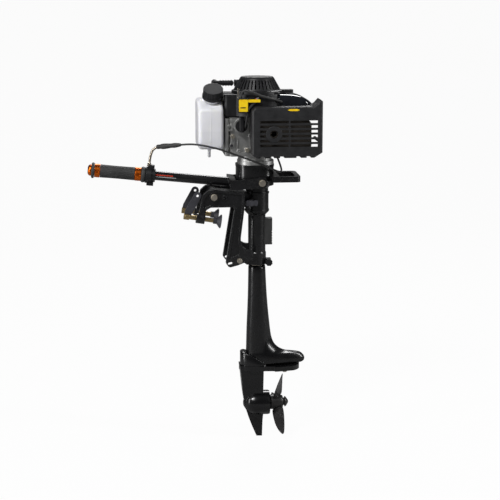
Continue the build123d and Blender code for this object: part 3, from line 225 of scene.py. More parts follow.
def floorMaterial():
    # A white sweep that looks evenly lit and throws little light back.
    mat = matte("floor_pale", (0.30, 0.30, 0.30), 0.9)
    tree = mat.node_tree
    bsdf = tree.nodes["Principled BSDF"]
    bsdf.inputs["Specular IOR Level"].default_value = 0.1
    glow = tree.nodes.new("ShaderNodeEmission")
    glow.inputs["Color"].default_value = (1.0, 1.0, 1.0, 1.0)
    glow.inputs["Strength"].default_value = 1.06
    path = tree.nodes.new("ShaderNodeLightPath")
    share = tree.nodes.new("ShaderNodeMath")
    share.operation = "MULTIPLY"
    share.inputs[1].default_value = 0.9
    tree.links.new(path.outputs["Is Camera Ray"], share.inputs[0])
    both = tree.nodes.new("ShaderNodeMixShader")
    tree.links.new(share.outputs[0], both.inputs[0])
    tree.links.new(bsdf.outputs[0], both.inputs[1])
    tree.links.new(glow.outputs[0], both.inputs[2])
    tree.links.new(both.outputs[0], tree.nodes["Material Output"].inputs["Surface"])
    return mat


def paint(name, colour, rough, grain=600.0, bump=0.05, edge=0.0008, coat=0.0, worn=True):
    # Paint on a casting: fine orange peel, slight tone variation, and metal showing at worn edges.
    mat, tree, bsdf, place = newMaterial(name)
    tone = mixColour(tree, spread(tree, noise(tree, place, 22.0), 0, 1), colour,
        tuple(min(1, c * 1.5 + 0.001) for c in colour))
    if worn:
        rub = tree.nodes.new("ShaderNodeMath")
        rub.operation = "MULTIPLY"
        tree.links.new(wornEdge(tree, 0.56, 0.66), rub.inputs[0])
        tree.links.new(spread(tree, noise(tree, place, 160.0), 0.0, 0.3, 0.5, 0.75), rub.inputs[1])
        tone = mixColour(tree, rub.outputs[0], tone, (0.12, 0.12, 0.12))
    tree.links.new(tone, bsdf.inputs["Base Color"])
    tree.links.new(spread(tree, noise(tree, place, 35.0), rough * 0.8, rough * 1.25), bsdf.inputs["Roughness"])
    bsdf.inputs["Specular IOR Level"].default_value = 0.4
    bsdf.inputs["Coat Weight"].default_value = coat
    bsdf.inputs["Coat Roughness"].default_value = 0.14
    softEdge(tree, bsdf, edge, noise(tree, place, grain, 2.0), bump, 0.0004)
    return mat


def metal(name, colour, rough, grain=900.0, bump=0.04, edge=0.0005, stretch=(1, 1, 1), dirt=0.25):
    # Bare or plated metal, brushed along one direction where stretch says so.
    mat, tree, bsdf, place = newMaterial(name)
    mapping = tree.nodes.new("ShaderNodeMapping")
    mapping.inputs["Scale"].default_value = stretch
    tree.links.new(place, mapping.inputs["Vector"])
    brushed = noise(tree, mapping.outputs["Vector"], grain, 3.0)
    tone = mixColour(tree, spread(tree, noise(tree, place, 40.0), 0, dirt), colour, tuple(c * 0.35 for c in colour))
    tree.links.new(tone, bsdf.inputs["Base Color"])
    bsdf.inputs["Metallic"].default_value = 1.0
    tree.links.new(spread(tree, brushed, rough * 0.75, rough * 1.3), bsdf.inputs["Roughness"])
    softEdge(tree, bsdf, edge, brushed, bump, 0.0003)
    return mat


def plastic(name, colour, rough, grain=1400.0, bump=0.12, edge=0.0007, coat=0.0):
    # Moulded plastic with a fine spark-eroded grain.
    mat, tree, bsdf, place = newMaterial(name)
    tone = mixColour(tree, spread(tree, noise(tree, place, 60.0), 0, 1), colour,
        tuple(min(1, c * 1.5 + 0.003) for c in colour))
    tree.links.new(tone, bsdf.inputs["Base Color"])
    tree.links.new(spread(tree, noise(tree, place, 45.0), rough * 0.85, min(1, rough * 1.15)),
        bsdf.inputs["Roughness"])
    bsdf.inputs["Specular IOR Level"].default_value = 0.36
    bsdf.inputs["Coat Weight"].default_value = coat
    bsdf.inputs["Coat Roughness"].default_value = 0.05
    softEdge(tree, bsdf, edge, noise(tree, place, grain, 2.0), bump, 0.0003)
    return mat


def rubberLike(name, colour, rough=0.62):
    mat, tree, bsdf, place = newMaterial(name)
    bloom = spread(tree, noise(tree, place, 30.0, 6.0), 0, 1, 0.35, 0.75)
    tree.links.new(mixColour(tree, bloom, colour, tuple(c * 1.9 + 0.006 for c in colour)),
        bsdf.inputs["Base Color"])
    tree.links.new(spread(tree, bloom, rough * 0.85, rough * 1.2, 0, 1), bsdf.inputs["Roughness"])
    bsdf.inputs["Sheen Weight"].default_value = 0.08
    softEdge(tree, bsdf, 0.0005, noise(tree, place, 1100.0, 2.0), 0.15, 0.0003)
    return mat


def tankPlastic():
    # Natural polyethylene, milky, a little darker where the petrol stands behind it.
    mat, tree, bsdf, place = newMaterial("tank_white")
    split = tree.nodes.new("ShaderNodeSeparateXYZ")
    tree.links.new(place, split.inputs[0])
    level = spread(tree, split.outputs["Z"], 1.0, 0.0, 0.196, 0.2)
    cloud = spread(tree, noise(tree, place, 28.0, 3.0), 0, 0.5)
    dry = mixColour(tree, cloud, (0.90, 0.90, 0.93), (0.82, 0.82, 0.86))
    wet = mixColour(tree, cloud, (0.86, 0.86, 0.89), (0.78, 0.78, 0.82))
    tree.links.new(mixColour(tree, level, dry, wet), bsdf.inputs["Base Color"])
    bsdf.inputs["Roughness"].default_value = 0.34
    bsdf.inputs["Subsurface Weight"].default_value = 0.35
    bsdf.inputs["Subsurface Radius"].default_value = (0.006, 0.006, 0.005)
    bsdf.inputs["Subsurface Scale"].default_value = 1.0
    softEdge(tree, bsdf, 0.0, noise(tree, place, 240.0, 3.0), 0.06, 0.0006)
    return mat


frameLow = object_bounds()[0]
black = {
    "casting": paint("bracket_paint", (0.006, 0.006, 0.0065), 0.27, coat=0.3),
    "legPaint": paint("leg_paint", (0.003, 0.003, 0.0034), 0.24, grain=350.0, bump=0.03, edge=0.0, coat=0.25),
    "propPaint": paint("propeller_paint", (0.014, 0.013, 0.013), 0.34, coat=0.1),
    "plate": paint("plate_coating", (0.034, 0.034, 0.040), 0.38, edge=0.0005),
    "plastic": plastic("black_plastic", (0.009, 0.009, 0.010), 0.40),
    "guard": plastic("guard_plastic", (0.014, 0.014, 0.015), 0.44),
    "hood": plastic("hood_gloss", (0.006, 0.007, 0.010), 0.10, bump=0.01, coat=0.9),
    "rubber": rubberLike("rubber", (0.016, 0.016, 0.016)),
    "muffler": metal("muffler_steel", (0.16, 0.14, 0.12), 0.5, dirt=0.6),
}
bright = {
    "steel": metal("steel", (0.72, 0.66, 0.56), 0.34, dirt=0.4),
    "zinc": metal("yellow_zinc", (0.50, 0.38, 0.19), 0.34, dirt=0.6),
    "cast": metal("cast_aluminium", (0.60, 0.60, 0.59), 0.46, grain=420.0, bump=0.3, dirt=0.6),
    "pipe": metal("plated_pipe", (0.56, 0.49, 0.40), 0.16, dirt=0.5),
    "orange": metal("orange_trim", (0.78, 0.16, 0.015), 0.30, grain=500.0, dirt=0.15),
    "tank": tankPlastic(),
    "rope": rubberLike("rope", (0.55, 0.54, 0.5), 0.8),
    "label": plastic("label_yellow", (0.80, 0.47, 0.008), 0.34, grain=300.0, bump=0.02, edge=0.0002),
    "red": plastic("label_red", (0.42, 0.03, 0.012), 0.34, grain=300.0, bump=0.02, edge=0.0002),
    "grey": plastic("label_grey", (0.30, 0.30, 0.30), 0.34, grain=300.0, bump=0.02, edge=0.0002),
}
look = {
    "casting": (black["casting"], "clamp_bracket swivel_bracket column_head tiller_arm carry_handle"),
    "leg": (black["legPaint"], "column_leg gearcase bearing_carrier"),
    "prop": (black["propPaint"], "propeller propeller_nut"),
    "plate": (black["plate"],
        "clamp_cup_port clamp_cup_starboard clamp_handle_port clamp_handle_starboard friction_screw throttle_lever"),
    "plastic": (black["plastic"],
        "recoil_cover fan_housing air_filter_case throttle_housing steering_bushes collar_knob starter_handle "
        "starter_reel oil_dipstick fuel_cap stop_button ignition_coil"),
    "guard": (black["guard"], "muffler_guard"),
    "hood": (black["hood"], "cylinder_shroud"),
    "rubber": (black["rubber"], "grip_rubber cable_boot rubber_buffer throttle_cable ignition_lead"),
    "steel": (bright["steel"],
        "bracket_bolts hex_bolts spark_plug drive_shaft propeller_shaft shaft_bearings connecting_rod "
        "crankshaft pinion_gear driven_gear clutch_shoes clutch_drum"),
    "zinc": (bright["zinc"], "clamp_screw_port clamp_screw_starboard"),
    "cast": (bright["cast"], "crankcase cylinder cylinder_head piston flywheel carburettor"),
    "pipe": (bright["pipe"], "cable_elbow"),
    "orange": (bright["orange"], "grip_trim"),
    "tank": (bright["tank"], "fuel_tank"),
    "muffler": (black["muffler"], "muffler"),
    "rope": (bright["rope"], "starter_rope"),
}
for mat, names in look.values():
    for n in names.split():
        nodes[n].data.materials.clear()
        nodes[n].data.materials.append(mat)
        for face in nodes[n].data.polygons:
            face.material_index = 0
print("materials done")

makeCamera()
makeStudio()

# mesh helpers

def makePiece(name, bm, mat, body, replaced="", levels=0, sharp=35.0):
    # A finished mesh that rides on a body and may stand for CAD nodes.
    bmesh.ops.recalc_face_normals(bm, faces=bm.faces)
    mesh = bpy.data.meshes.new(name)
    bm.to_mesh(mesh)
    bm.free()
    mesh.materials.append(mat)
    piece = bpy.data.objects.new(name, mesh)
    bpy.context.scene.collection.objects.link(piece)
    if levels:
        smooth = piece.modifiers.new("smooth", "SUBSURF")
        smooth.levels = levels
        smooth.render_levels = levels
    mesh.shade_smooth()
    if not levels:
        mesh.set_sharp_from_angle(angle=math.radians(sharp))
    if body:
        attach(piece, body)
    if replaced:
        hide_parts(*replaced.split())
    return piece


def basis(along):
    # Two directions across one direction.
    along = Vector(along).normalized()
    helper = Vector((0, 0, 1)) if abs(along.z) < 0.9 else Vector((1, 0, 0))
    side = along.cross(helper).normalized()
    return side, side.cross(along).normalized()


def skin(bm, rings, closedEnds=True):
    # Faces between rings of vertices that all have the same count.
    made = [[bm.verts.new(p) for p in ring] for ring in rings]
    count = len(made[0])
    for a, b in zip(made, made[1:]):
        for i in range(count):
            j = (i + 1) % count
            bm.faces.new((a[i], a[j], b[j], b[i]))
    if closedEnds:
        bm.faces.new(list(reversed(made[0])))
        bm.faces.new(made[-1])
    return made


def turned(bm, start, along, profile, count=48, wave=None):
    # A turned shape: profile holds (distance, radius) in millimetres along an axis.
    start = Vector(start)
    along = Vector(along).normalized()
    side, up = basis(along)
    rings = []
    for distance, radius in profile:
        ring = []
        for i in range(count):
            angle = 2 * math.pi * i / count
            r = radius if wave is None else wave(distance, radius, angle)
            ring.append(start + (along * distance + (side * math.cos(angle) + up * math.sin(angle)) * r) * mm)
        rings.append(ring)
    return skin(bm, rings)


def splineCurve(name, points, radius, mat):
    # A smooth NURBS line through the region of its control points, in millimetres.
    curve = bpy.data.curves.new(name, "CURVE")
    curve.dimensions = "3D"
    line = curve.splines.new("NURBS")
    line.points.add(len(points) - 1)
    for knot, p in zip(line.points, points):
        knot.co = (p[0] * mm, p[1] * mm, p[2] * mm, 1.0)
    line.order_u = 3
    line.use_endpoint_u = True
    curve.resolution_u = 16
    curve.bevel_depth = radius * mm
    curve.bevel_resolution = 4
    curve.use_fill_caps = True
    piece = bpy.data.objects.new(name, curve)
    bpy.context.scene.collection.objects.link(piece)
    if mat:
        curve.materials.append(mat)
    return piece


def linePoints(piece):
    # The points of a curve's own line.
    depth = piece.data.bevel_depth
    piece.data.bevel_depth = 0.0
    bpy.context.view_layer.update()
    mesh = bpy.data.meshes.new_from_object(piece.evaluated_get(bpy.context.evaluated_depsgraph_get()))
    piece.data.bevel_depth = depth
    points = [v.co.copy() for v in mesh.vertices]
    bpy.data.meshes.remove(mesh)
    return points


def tubeAlong(bm, points, radiusAt, count=20):
    # A tube round a line, its frame carried along without twist.
    side = None
    rings = []
    for i, p in enumerate(points):
        along = (points[min(i + 1, len(points) - 1)] - points[max(i - 1, 0)]).normalized()
        side = basis(along)[0] if side is None else (side - along * side.dot(along)).normalized()
        up = along.cross(side)
        r = radiusAt(i / (len(points) - 1)) * mm
        turns = [2 * math.pi * k / count for k in range(count)]
        rings.append([p + (side * math.cos(a) + up * math.sin(a)) * r for a in turns])
    skin(bm, rings)


# cords

cableRoute = [
    (-105.91, -42.045, 163.012), (-84.7, -52.7, 166), (-60, -69, 165.5), (-30, -78, 160.5), (5, -81, 150.5),
    (40, -80, 137), (74, -76, 124), (104, -67, 111), (130, -55, 98), (150, -36, 88), (160, -8, 86.5),
    (160, 18, 97), (153, 37, 119), (142, 50, 141), (130, 61, 162.4),
]
guide = splineCurve("cable_guide", cableRoute, 2.5, None)
cableLine = linePoints(guide)
bpy.data.objects.remove(guide)
bm = bmesh.new()
tubeAlong(bm, cableLine, lambda t: 2.5, 16)
cable = makePiece("throttle_cable_sheath", bm, black["rubber"], "", "throttle_cable")
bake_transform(cable)

leadRoute = [
    (46, -82, 288), (46, -82, 296), (51, -83.5, 302), (61, -86, 303.5), (76, -89, 298), (96, -88, 290),
    (116, -85, 284), (136, -77, 279), (152, -60.3, 272),
]
lead = splineCurve("ignition_lead_sheath", leadRoute, 3.0, black["rubber"])
leadLine = linePoints(lead)
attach(lead, "motor")
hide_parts("ignition_lead")
print("cords done")

# tiller grip

tillerDown = math.radians(5.76)
tillerDir = Vector((-math.cos(tillerDown), 0.0, math.sin(tillerDown)))
tillerUp = Vector((math.sin(tillerDown), 0.0, math.cos(tillerDown)))


def onTiller(distance, up=0.0, across=0.0):
    return (Vector((50.0, 0.0, 56.2)) + tillerDir * distance + tillerUp * up + Vector((0, across, 0))) * mm


# distances along the tiller from its socket, in millimetres
grip = {"flange": 248.8, "nearRing": 259.1, "rubber": 275.8, "farRing": 365.3, "cuff": 380.1, "cap": 387.8,
    "tip": 397.6}


def makeGrip():
    # Rubber sleeve ribbed lengthwise between two rolled flanges.
    ribs = 26
    start = grip["rubber"]
    end = grip["farRing"]

    def ribbed(distance, radius, angle):
        inside = min(distance - start - 3, end - 3 - distance)
        if inside <= 0:
            return radius
        depth = min(1.0, inside / 3) * 0.55
        wave = max(0.0, math.cos(ribs * angle)) ** 0.5
        return radius - depth * (1 - wave)

    bm = bmesh.new()
    profile = [(start, 13.2), (start, 16.2), (start + 0.7, 16.9), (start + 3, 17.0)]
    steps = 24
    for i in range(1, steps):
        t = i / steps
        profile.append((start + 3 + (end - start - 6) * t, 17.0 - 0.5 * math.sin(math.pi * t)))
    profile += [(end - 3, 17.0), (end - 0.7, 16.9), (end, 16.2), (end, 13.2)]
    turned(bm, onTiller(0), tillerDir, profile, 208, ribbed)
    for low, high in ((grip["flange"], grip["nearRing"]), (grip["cuff"], grip["cap"])):
        middle = (low + high) / 2
        turned(bm, onTiller(0), tillerDir, [
            (low, 12.4), (low, 18.2), (low + 1.2, 19.8), (middle - 1.6, 20.4), (middle, 20.5), (middle + 1.6, 20.4),
            (high - 1.2, 19.4), (high, 18.0), (high, 12.4),
        ], 72)
    makePiece("grip_sleeve", bm, black["rubber"], "grip", "grip_rubber")


def makeTrim():
    # Anodised rings with shallow notches, and a domed end cap with a socket screw.
    bm = bmesh.new()
    for low, high in ((grip["nearRing"] + 0.4, grip["rubber"] - 0.4), (grip["farRing"] + 0.4, grip["cuff"] - 0.4)):
        middle = (low + high) / 2

        def notched(distance, radius, angle):
            if abs(distance - middle) < 4.2 and math.cos(6 * angle) > 0.55:
                return radius - 1.3
            return radius
        profile = [(low, 13.4), (low, 16.9), (low + 0.7, 17.5), (middle - 4.4, 17.5), (middle - 4.1, 17.5),
                   (middle + 4.1, 17.5), (middle + 4.4, 17.5), (high - 0.7, 17.5), (high, 16.9), (high, 13.4)]
        turned(bm, onTiller(0), tillerDir, profile, 144, notched)
    low = grip["cap"] + 0.1
    turned(bm, onTiller(0), tillerDir, [
        (low - 2.0, 11.5), (low, 14.4), (low + 1.6, 14.8), (low + 4.2, 14.4), (low + 7.0, 12.6), (low + 8.9, 9.6),
        (low + 9.4, 7.2), (low + 9.4, 5.6), (low + 6.2, 5.2), (low + 6.2, 0.4),
    ], 72)
    makePiece("grip_rings", bm, bright["orange"], "grip", "grip_trim")
    screw = bmesh.new()
    turned(screw, onTiller(0), tillerDir, [(low + 5.0, 4.8), (low + 8.2, 4.8), (low + 8.9, 4.1),
        (low + 8.9, 2.4), (low + 7.2, 2.2), (low + 7.2, 0.3)], 36)
    makePiece("grip_end_screw", screw, bright["steel"], "grip", "")


makeGrip()
makeTrim()


def makeBoot():
    # Rubber boot over the cable's end: a waisted sleeve with a lip at each end.
    start = Vector((-165.9, -12.0, 154.7))
    end = Vector((-106.0, -42.0, 163.0))
    length = (end - start).length
    bm = bmesh.new()
    profile = [
        (0.0, 3.4), (0.0, 5.2), (0.015, 5.8), (0.07, 6.0), (0.12, 5.7), (0.16, 5.6), (0.20, 6.9), (0.26, 7.3),
            (0.42, 7.0),
        (0.52, 6.2), (0.58, 5.7), (0.64, 5.8), (0.70, 6.3), (0.76, 6.4), (0.84, 5.8), (0.92, 4.9), (0.97, 4.4),
            (1.0, 4.0), (1.0, 2.6),
    ]
    turned(bm, start * mm, end - start, [(t * length, r) for t, r in profile], 40)
    makePiece("boot_sleeve", bm, black["rubber"], "tiller", "cable_boot", 1)


makeBoot()
print("tiller done")

def makeElbow():
    # Bent bright pipe from the throttle housing to the cable's boot, with a hexagon nut at its foot.
    route = [(-186.5, 0, 104.5), (-185.4, -0.6, 113), (-183.6, -2.2, 127), (-179.6, -5.4, 141),
        (-173.6, -8.8, 150.5), (-163.5, -13.2, 155.0)]
    guide = splineCurve("elbow_guide", route, 3.0, None)
    line = linePoints(guide)
    bpy.data.objects.remove(guide)
    bm = bmesh.new()
    tubeAlong(bm, line, lambda t: 3.3, 24)
    up = Vector((0.13, -0.07, 1.0)).normalized()
    turned(bm, Vector((-186.6, 0, 103.2)) * mm, up, [(0, 5.4), (0.6, 6.0), (6.2, 6.0), (6.8, 5.4), (7.4, 4.2),
        (9.6, 4.0), (10.2, 3.2)], 6)
    makePiece("elbow_pipe", bm, bright["pipe"], "tiller", "cable_elbow", 0, 40)


makeElbow()


def plate(bm, low, high, lift=0.0):
    # A thin label with clipped corners, lying across Y.
    x0, z0 = low
    x1, z1 = high
    cut = min(1.4, (x1 - x0) / 4, (z1 - z0) / 4)
    edge = [(x0 + cut, z0), (x1 - cut, z0), (x1, z0 + cut), (x1, z1 - cut), (x1 - cut, z1), (x0 + cut, z1),
        (x0, z1 - cut), (x0, z0 + cut)]
    return [[Vector((x, y, z)) * mm for x, z in edge] for y in (0.0, -lift)]


def makeLabels():
    # Plain labels where the real ones are printed: no lettering on any of them.
    for name, mat, low, high, y in (
        ("coil_label", bright["label"], (39.4, 250.5), (62.2, 281.5), -90.05),
        ("coil_label_band", black["plastic"], (43.4, 259.6), (56.6, 262.2), -90.45),
        ("coil_label_strip", bright["label"], (62.4, 274.0), (94.0, 281.5), -88.6),
    ):
        bm = bmesh.new()
        rings = plate(bm, low, high, 0.45)
        skin(bm, [[p + Vector((0, y, 0)) * mm for p in ring] for ring in rings])
        makePiece(name, bm, mat, "motor", "", 0, 20)
    # stripes on the tiller beside the throttle housing
    for name, mat, near, far, tall in (("tiller_stripe_red", bright["red"], 176.0, 226.0, 2.6),
        ("tiller_stripe_grey", bright["grey"], 168.0, 222.0, 2.0)):
        bm = bmesh.new()
        middle = 0.30 if name.endswith("red") else -0.10
        rings = []
        radius = tubeRadius + 0.12
        for distance in (near, far):
            ring = []
            for k in range(9):
                angle = middle + (k / 8 - 0.5) * tall / radius
                ring.append(onTiller(distance, radius * math.sin(angle), -radius * math.cos(angle)))
            for k in range(8, -1, -1):
                angle = middle + (k / 8 - 0.5) * tall / radius
                ring.append(onTiller(distance, (radius - 0.3) * math.sin(angle), -(radius - 0.3) * math.cos(angle)))
            rings.append(ring)
        skin(bm, rings)
        makePiece(name, bm, mat, "tiller", "", 0, 30)


def makeBadge():
    # Plain badge on the guard's upper bevel.
    bm = bmesh.new()
    skin(bm, [[Vector((x, y, z)) * mm for x, y, z in ring] for ring in (
        [(160, -112.2, 256.2), (167, -112.2, 253.6), (185, -112.2, 253.6), (192, -112.2, 256.2),
            (185, -112.2, 258.8), (167, -112.2, 258.8)],
        [(160, -114.4, 256.2), (167, -114.4, 253.6), (185, -114.4, 253.6), (192, -114.4, 256.2),
            (185, -114.4, 258.8), (167, -114.4, 258.8)],
    )])
    makePiece("guard_badge", bm, bright["label"], "motor", "", 0, 20)


def makeLeadParts():
    # Spiral wrap on the earth wire and its two crimped terminals.
    route = [(84, -80, 279), (80, -83, 273), (72, -84, 266), (65, -85, 256), (61, -82, 238), (59, -72, 216),
        (58.5, -60, 205)]
    guide = splineCurve("wire_guide", route, 2.0, None)
    line = linePoints(guide)
    bpy.data.objects.remove(guide)
    bm = bmesh.new()
    tubeAlong(bm, line, lambda t: 2.3 + 0.5 * abs(math.sin(t * 70)), 12)
    makePiece("earth_wire", bm, black["rubber"], "motor", "", 0, 60)
    bm = bmesh.new()
    turned(bm, Vector((82.5, -80.8, 277.0)) * mm, Vector((0.45, 0.25, 0.6)),
        [(-1, 2.0), (-0.4, 3.0), (5.5, 3.0), (6.2, 2.2)], 20)
    makePiece("wire_terminal_red", bm, bright["red"], "motor", "", 0, 40)
    bm = bmesh.new()
    turned(bm, Vector((85.0, -79.4, 281.2)) * mm, Vector((0.75, 0.15, 0.35)),
        [(-1, 1.6), (-0.4, 2.6), (6.5, 2.6), (7.2, 1.8)], 20)
    makePiece("wire_terminal_pale", bm, bright["grey"], "motor", "", 0, 40)


def makeCoilBar():
    # Bright earth strap that stands beside the coil's boot.
    bm = bmesh.new()
    skin(bm, [[Vector((x, y, z)) * mm for x, y in ((37.2, -81.6), (39.6, -81.6), (39.6, -78.6),
        (37.2, -78.6))] for z in (283.2, 309.0)])
    makePiece("coil_strap", bm, bright["steel"], "motor", "", 0, 30)


def repeated(places, sizes, unit):
    # Geometry Nodes set one small mesh at every place, each stretched by its own size
    tree = bpy.data.node_groups.new("repeat_on_places", "GeometryNodeTree")
    tree.interface.new_socket("Places", in_out="INPUT", socket_type="NodeSocketGeometry")
    unitInput = tree.interface.new_socket("Unit", in_out="INPUT", socket_type="NodeSocketObject")
    matInput = tree.interface.new_socket("Material", in_out="INPUT", socket_type="NodeSocketMaterial")
    tree.interface.new_socket("Geometry", in_out="OUTPUT", socket_type="NodeSocketGeometry")
    made = {}
    for key, kind in (("in", "NodeGroupInput"), ("unit", "GeometryNodeObjectInfo"),
        ("size", "GeometryNodeInputNamedAttribute"),
                      ("set", "GeometryNodeInstanceOnPoints"), ("real", "GeometryNodeRealizeInstances"),
                      ("paint", "GeometryNodeSetMaterial"), ("out", "NodeGroupOutput")):
        made[key] = tree.nodes.new(kind)
    made["size"].data_type = "FLOAT_VECTOR"
    made["size"].inputs["Name"].default_value = "stretch"
    made["unit"].inputs["As Instance"].default_value = False
    for a, b in (
        (made["in"].outputs["Places"], made["set"].inputs["Points"]),
        (made["in"].outputs["Unit"], made["unit"].inputs["Object"]),
        (made["unit"].outputs["Geometry"], made["set"].inputs["Instance"]),
        (made["size"].outputs["Attribute"], made["set"].inputs["Scale"]),
        (made["set"].outputs["Instances"], made["real"].inputs["Geometry"]),
        (made["real"].outputs["Geometry"], made["paint"].inputs["Geometry"]),
        (made["in"].outputs["Material"], made["paint"].inputs["Material"]),
        (made["paint"].outputs["Geometry"], made["out"].inputs["Geometry"]),
    ):
        tree.links.new(a, b)
    unitMesh = bpy.data.meshes.new("unit")
    unit.to_mesh(unitMesh)
    unit.free()
    unitObject = bpy.data.objects.new("unit", unitMesh)
    spots = bpy.data.meshes.new("spots")
    spots.from_pydata([[c * mm for c in p] for p in places], [], [])
    stretch = spots.attributes.new("stretch", "FLOAT_VECTOR", "POINT")
    for row, size in zip(stretch.data, sizes):
        row.vector = size
    host = bpy.data.objects.new("spots", spots)
    for made in (unitObject, host):
        bpy.context.scene.collection.objects.link(made)
    modifier = host.modifiers.new("repeat", "NODES")
    modifier.node_group = tree
    modifier[unitInput.identifier] = unitObject
    modifier[matInput.identifier] = bright["cast"]
    bpy.context.view_layer.update()
    mesh = bpy.data.meshes.new_from_object(host.evaluated_get(bpy.context.evaluated_depsgraph_get()))
    host.modifiers.remove(modifier)
    for made in (unitObject, host):
        bpy.data.objects.remove(made)
    bm = bmesh.new()
    bm.from_mesh(mesh)
    bpy.data.meshes.remove(mesh)
    for face in bm.faces:
        face.material_index = 0
    return bm


def box(low, high):
    # a small block between two corners, in millimetres
    bm = bmesh.new()
    (x0, y0, z0), (x1, y1, z1) = low, high
    skin(bm, [[Vector((x, y, z)) * mm for x, z in ((x0, z0), (x1, z0), (x1, z1), (x0, z1))] for y in (y1, y0)])
    return bm


def makeCaseDetails():
    # Cooling ribs, two level ridges, bolt bosses and screws on the port side of the crankcase.
    # upright ribs: place along X, foot, height
    upright = [(x, 156, 22) for x in (31, 40)] + [(x, 153, 66) for x in (74, 83, 101, 110, 127)]
    bm = repeated([(x, 0, z) for x, z, h in upright], [(1, 1, h) for x, z, h in upright],
        box((-1.1, -50.4, 0), (1.1, -43, 1)))
    for z in (172, 196):
        skin(bm, [[Vector((x, y, z + dz)) * mm for x, dz in ((70, -1.2), (130, -1.2), (130, 1.2),
            (70, 1.2))] for y in (-43, -49.4)])
    for x, z, r in ((24, 160, 6.2), (43, 146, 5.0), (74, 184, 6.6), (104, 184, 6.6), (125, 205, 5.4)):
        turned(bm, Vector((x, -44, z)) * mm, Vector((0, -1, 0)), [
            (-2, r), (5.4, r), (6.2, r - 0.8), (6.2, r - 2.2), (4.4, r - 2.6), (4.4, 0.4)], 28)
    makePiece("case_ribs", bm, bright["cast"], "motor", "", 0, 30)
    # The screws are real, but their dark coating is painted shade that darkens the recesses of the bolt bosses.
    screw = bmesh.new()
    turned(screw, Vector((0, -48, 0)) * mm, Vector((0, -1, 0)), [
        (-1, 3.2), (3.4, 3.2), (4.0, 2.6), (4.0, 1.7), (2.2, 1.6), (2.2, 0.2)], 24)
    spots = [(24, 0, 160), (74, 0, 184), (104, 0, 184), (125, 0, 205)]
    makePiece("case_screws", repeated(spots, [(1, 1, 1)] * len(spots), screw), black["plate"], "motor", "",
        0, 30)


tubeRadius = 12.0  # outside of the tiller, in millimetres
makeLabels()
makeBadge()
makeLeadParts()
makeCoilBar()
makeCaseDetails()
print("details done")

# fuel tank and cap

tank = {"front": -62.3, "back": 3.8, "side": 61.8, "low": 151.2, "top": 276.8, "shoulder": 253.8, "corner": 11.0}


def makeTank():
    # Blow-moulded tank: crowned sides, large soft corners, sloped shoulder under the cap, seam line round the middle.
    front, back, side = tank["front"], tank["back"], tank["side"]
    low, top = tank["low"], tank["top"]

    def outline(inset, x):
        # Points round the tank's section, from the port bottom corner and back to it.
        s = side - inset
        corners = [(-s, low + inset, 11), (s, low + inset, 11), (s, top - inset, 13), (-24, top - inset, 16),
            (-s, tank["shoulder"] - inset, 10)]
        points = []
        for i, (y, z, r) in enumerate(corners):
            before = Vector(corners[i - 1][:2])
            after = Vector(corners[(i + 1) % len(corners)][:2])
            here = Vector((y, z))
            toBefore = (before - here).normalized()
            toAfter = (after - here).normalized()
            r = max(3.0, r - inset * 0.4)
            half = toBefore.angle(toAfter) / 2
            reach = r / math.tan(half)
            centre = here + (toBefore + toAfter).normalized() * (r / math.sin(half))
            a = here + toBefore * reach
            b = here + toAfter * reach
            for k in range(7):
                t = k / 6
                p = a.lerp(b, t) - centre
                points.append(centre + p.normalized() * r)
            nextR = corners[(i + 1) % len(corners)][2]
            for k in range(1, 6):
                t = k / 6
                points.append(b.lerp(after - toAfter * nextR, t))
        return [Vector((x, p[0], p[1])) * mm for p in points]

    bm = bmesh.new()
    corner = tank["corner"]
    rings = []
    for k in range(7):
        t = math.pi / 2 * k / 6
        rings.append(outline(corner * (1 - math.sin(t)) * 0.98, front + corner * (1 - math.cos(t))))
    for t in (0.2, 0.4, 0.47, 0.485, 0.5, 0.515, 0.53, 0.6, 0.8):
        x = front + corner + (back - front - 2 * corner) * t
        # the seam in the middle stands a hair proud of the walls
        rings.append(outline(0.25 * math.sin(math.pi * t) if abs(t - 0.5) > 0.02 else 0.0, x))
    for k in range(7):
        t = math.pi / 2 * k / 6
        rings.append(outline(corner * 0.8 * (1 - math.cos(t)) * 0.98, back - corner * 0.8 * (1 - math.sin(t))))
    made = skin(bm, rings, False)
    for ring in (made[0], made[-1]):
        inner = []
        centre = sum((v.co for v in ring), Vector()) / len(ring)
        for share in (0.82, 0.5, 0.2):
            inner.append([bm.verts.new(centre.lerp(v.co, share)) for v in ring])
        rows = [ring] + inner
        for a, b in zip(rows, rows[1:]):
            for i in range(len(ring)):
                j = (i + 1) % len(ring)
                bm.faces.new((a[i], a[j], b[j], b[i]))
        bm.faces.new(inner[-1])
    capDir = Vector((0, -0.5, math.sqrt(3) / 2))
    capBase = Vector((-22, -31, 284))
    turned(bm, capBase * mm, capDir, [(-17, 19.6), (-9, 19.8), (-6.5, 19.8), (-5.2, 18.8), (3.6, 18.8),
        (3.9, 17.4), (-2, 17.0)], 48)
    turned(bm, Vector((-32, -30, 153)) * mm, Vector((0, 0, -1)), [
        (0, 7.5), (2.2, 5.6), (4, 4.1), (17, 3.6), (18, 4.0), (21, 4.0), (22, 3.5), (23.6, 3.5), (24.8, 3.0),
            (24.8, 1.9), (18, 1.8)], 28)
    makePiece("tank_shell", bm, bright["tank"], "motor", "fuel_tank", 1)


makeTank()
print("tank done")

# column leg

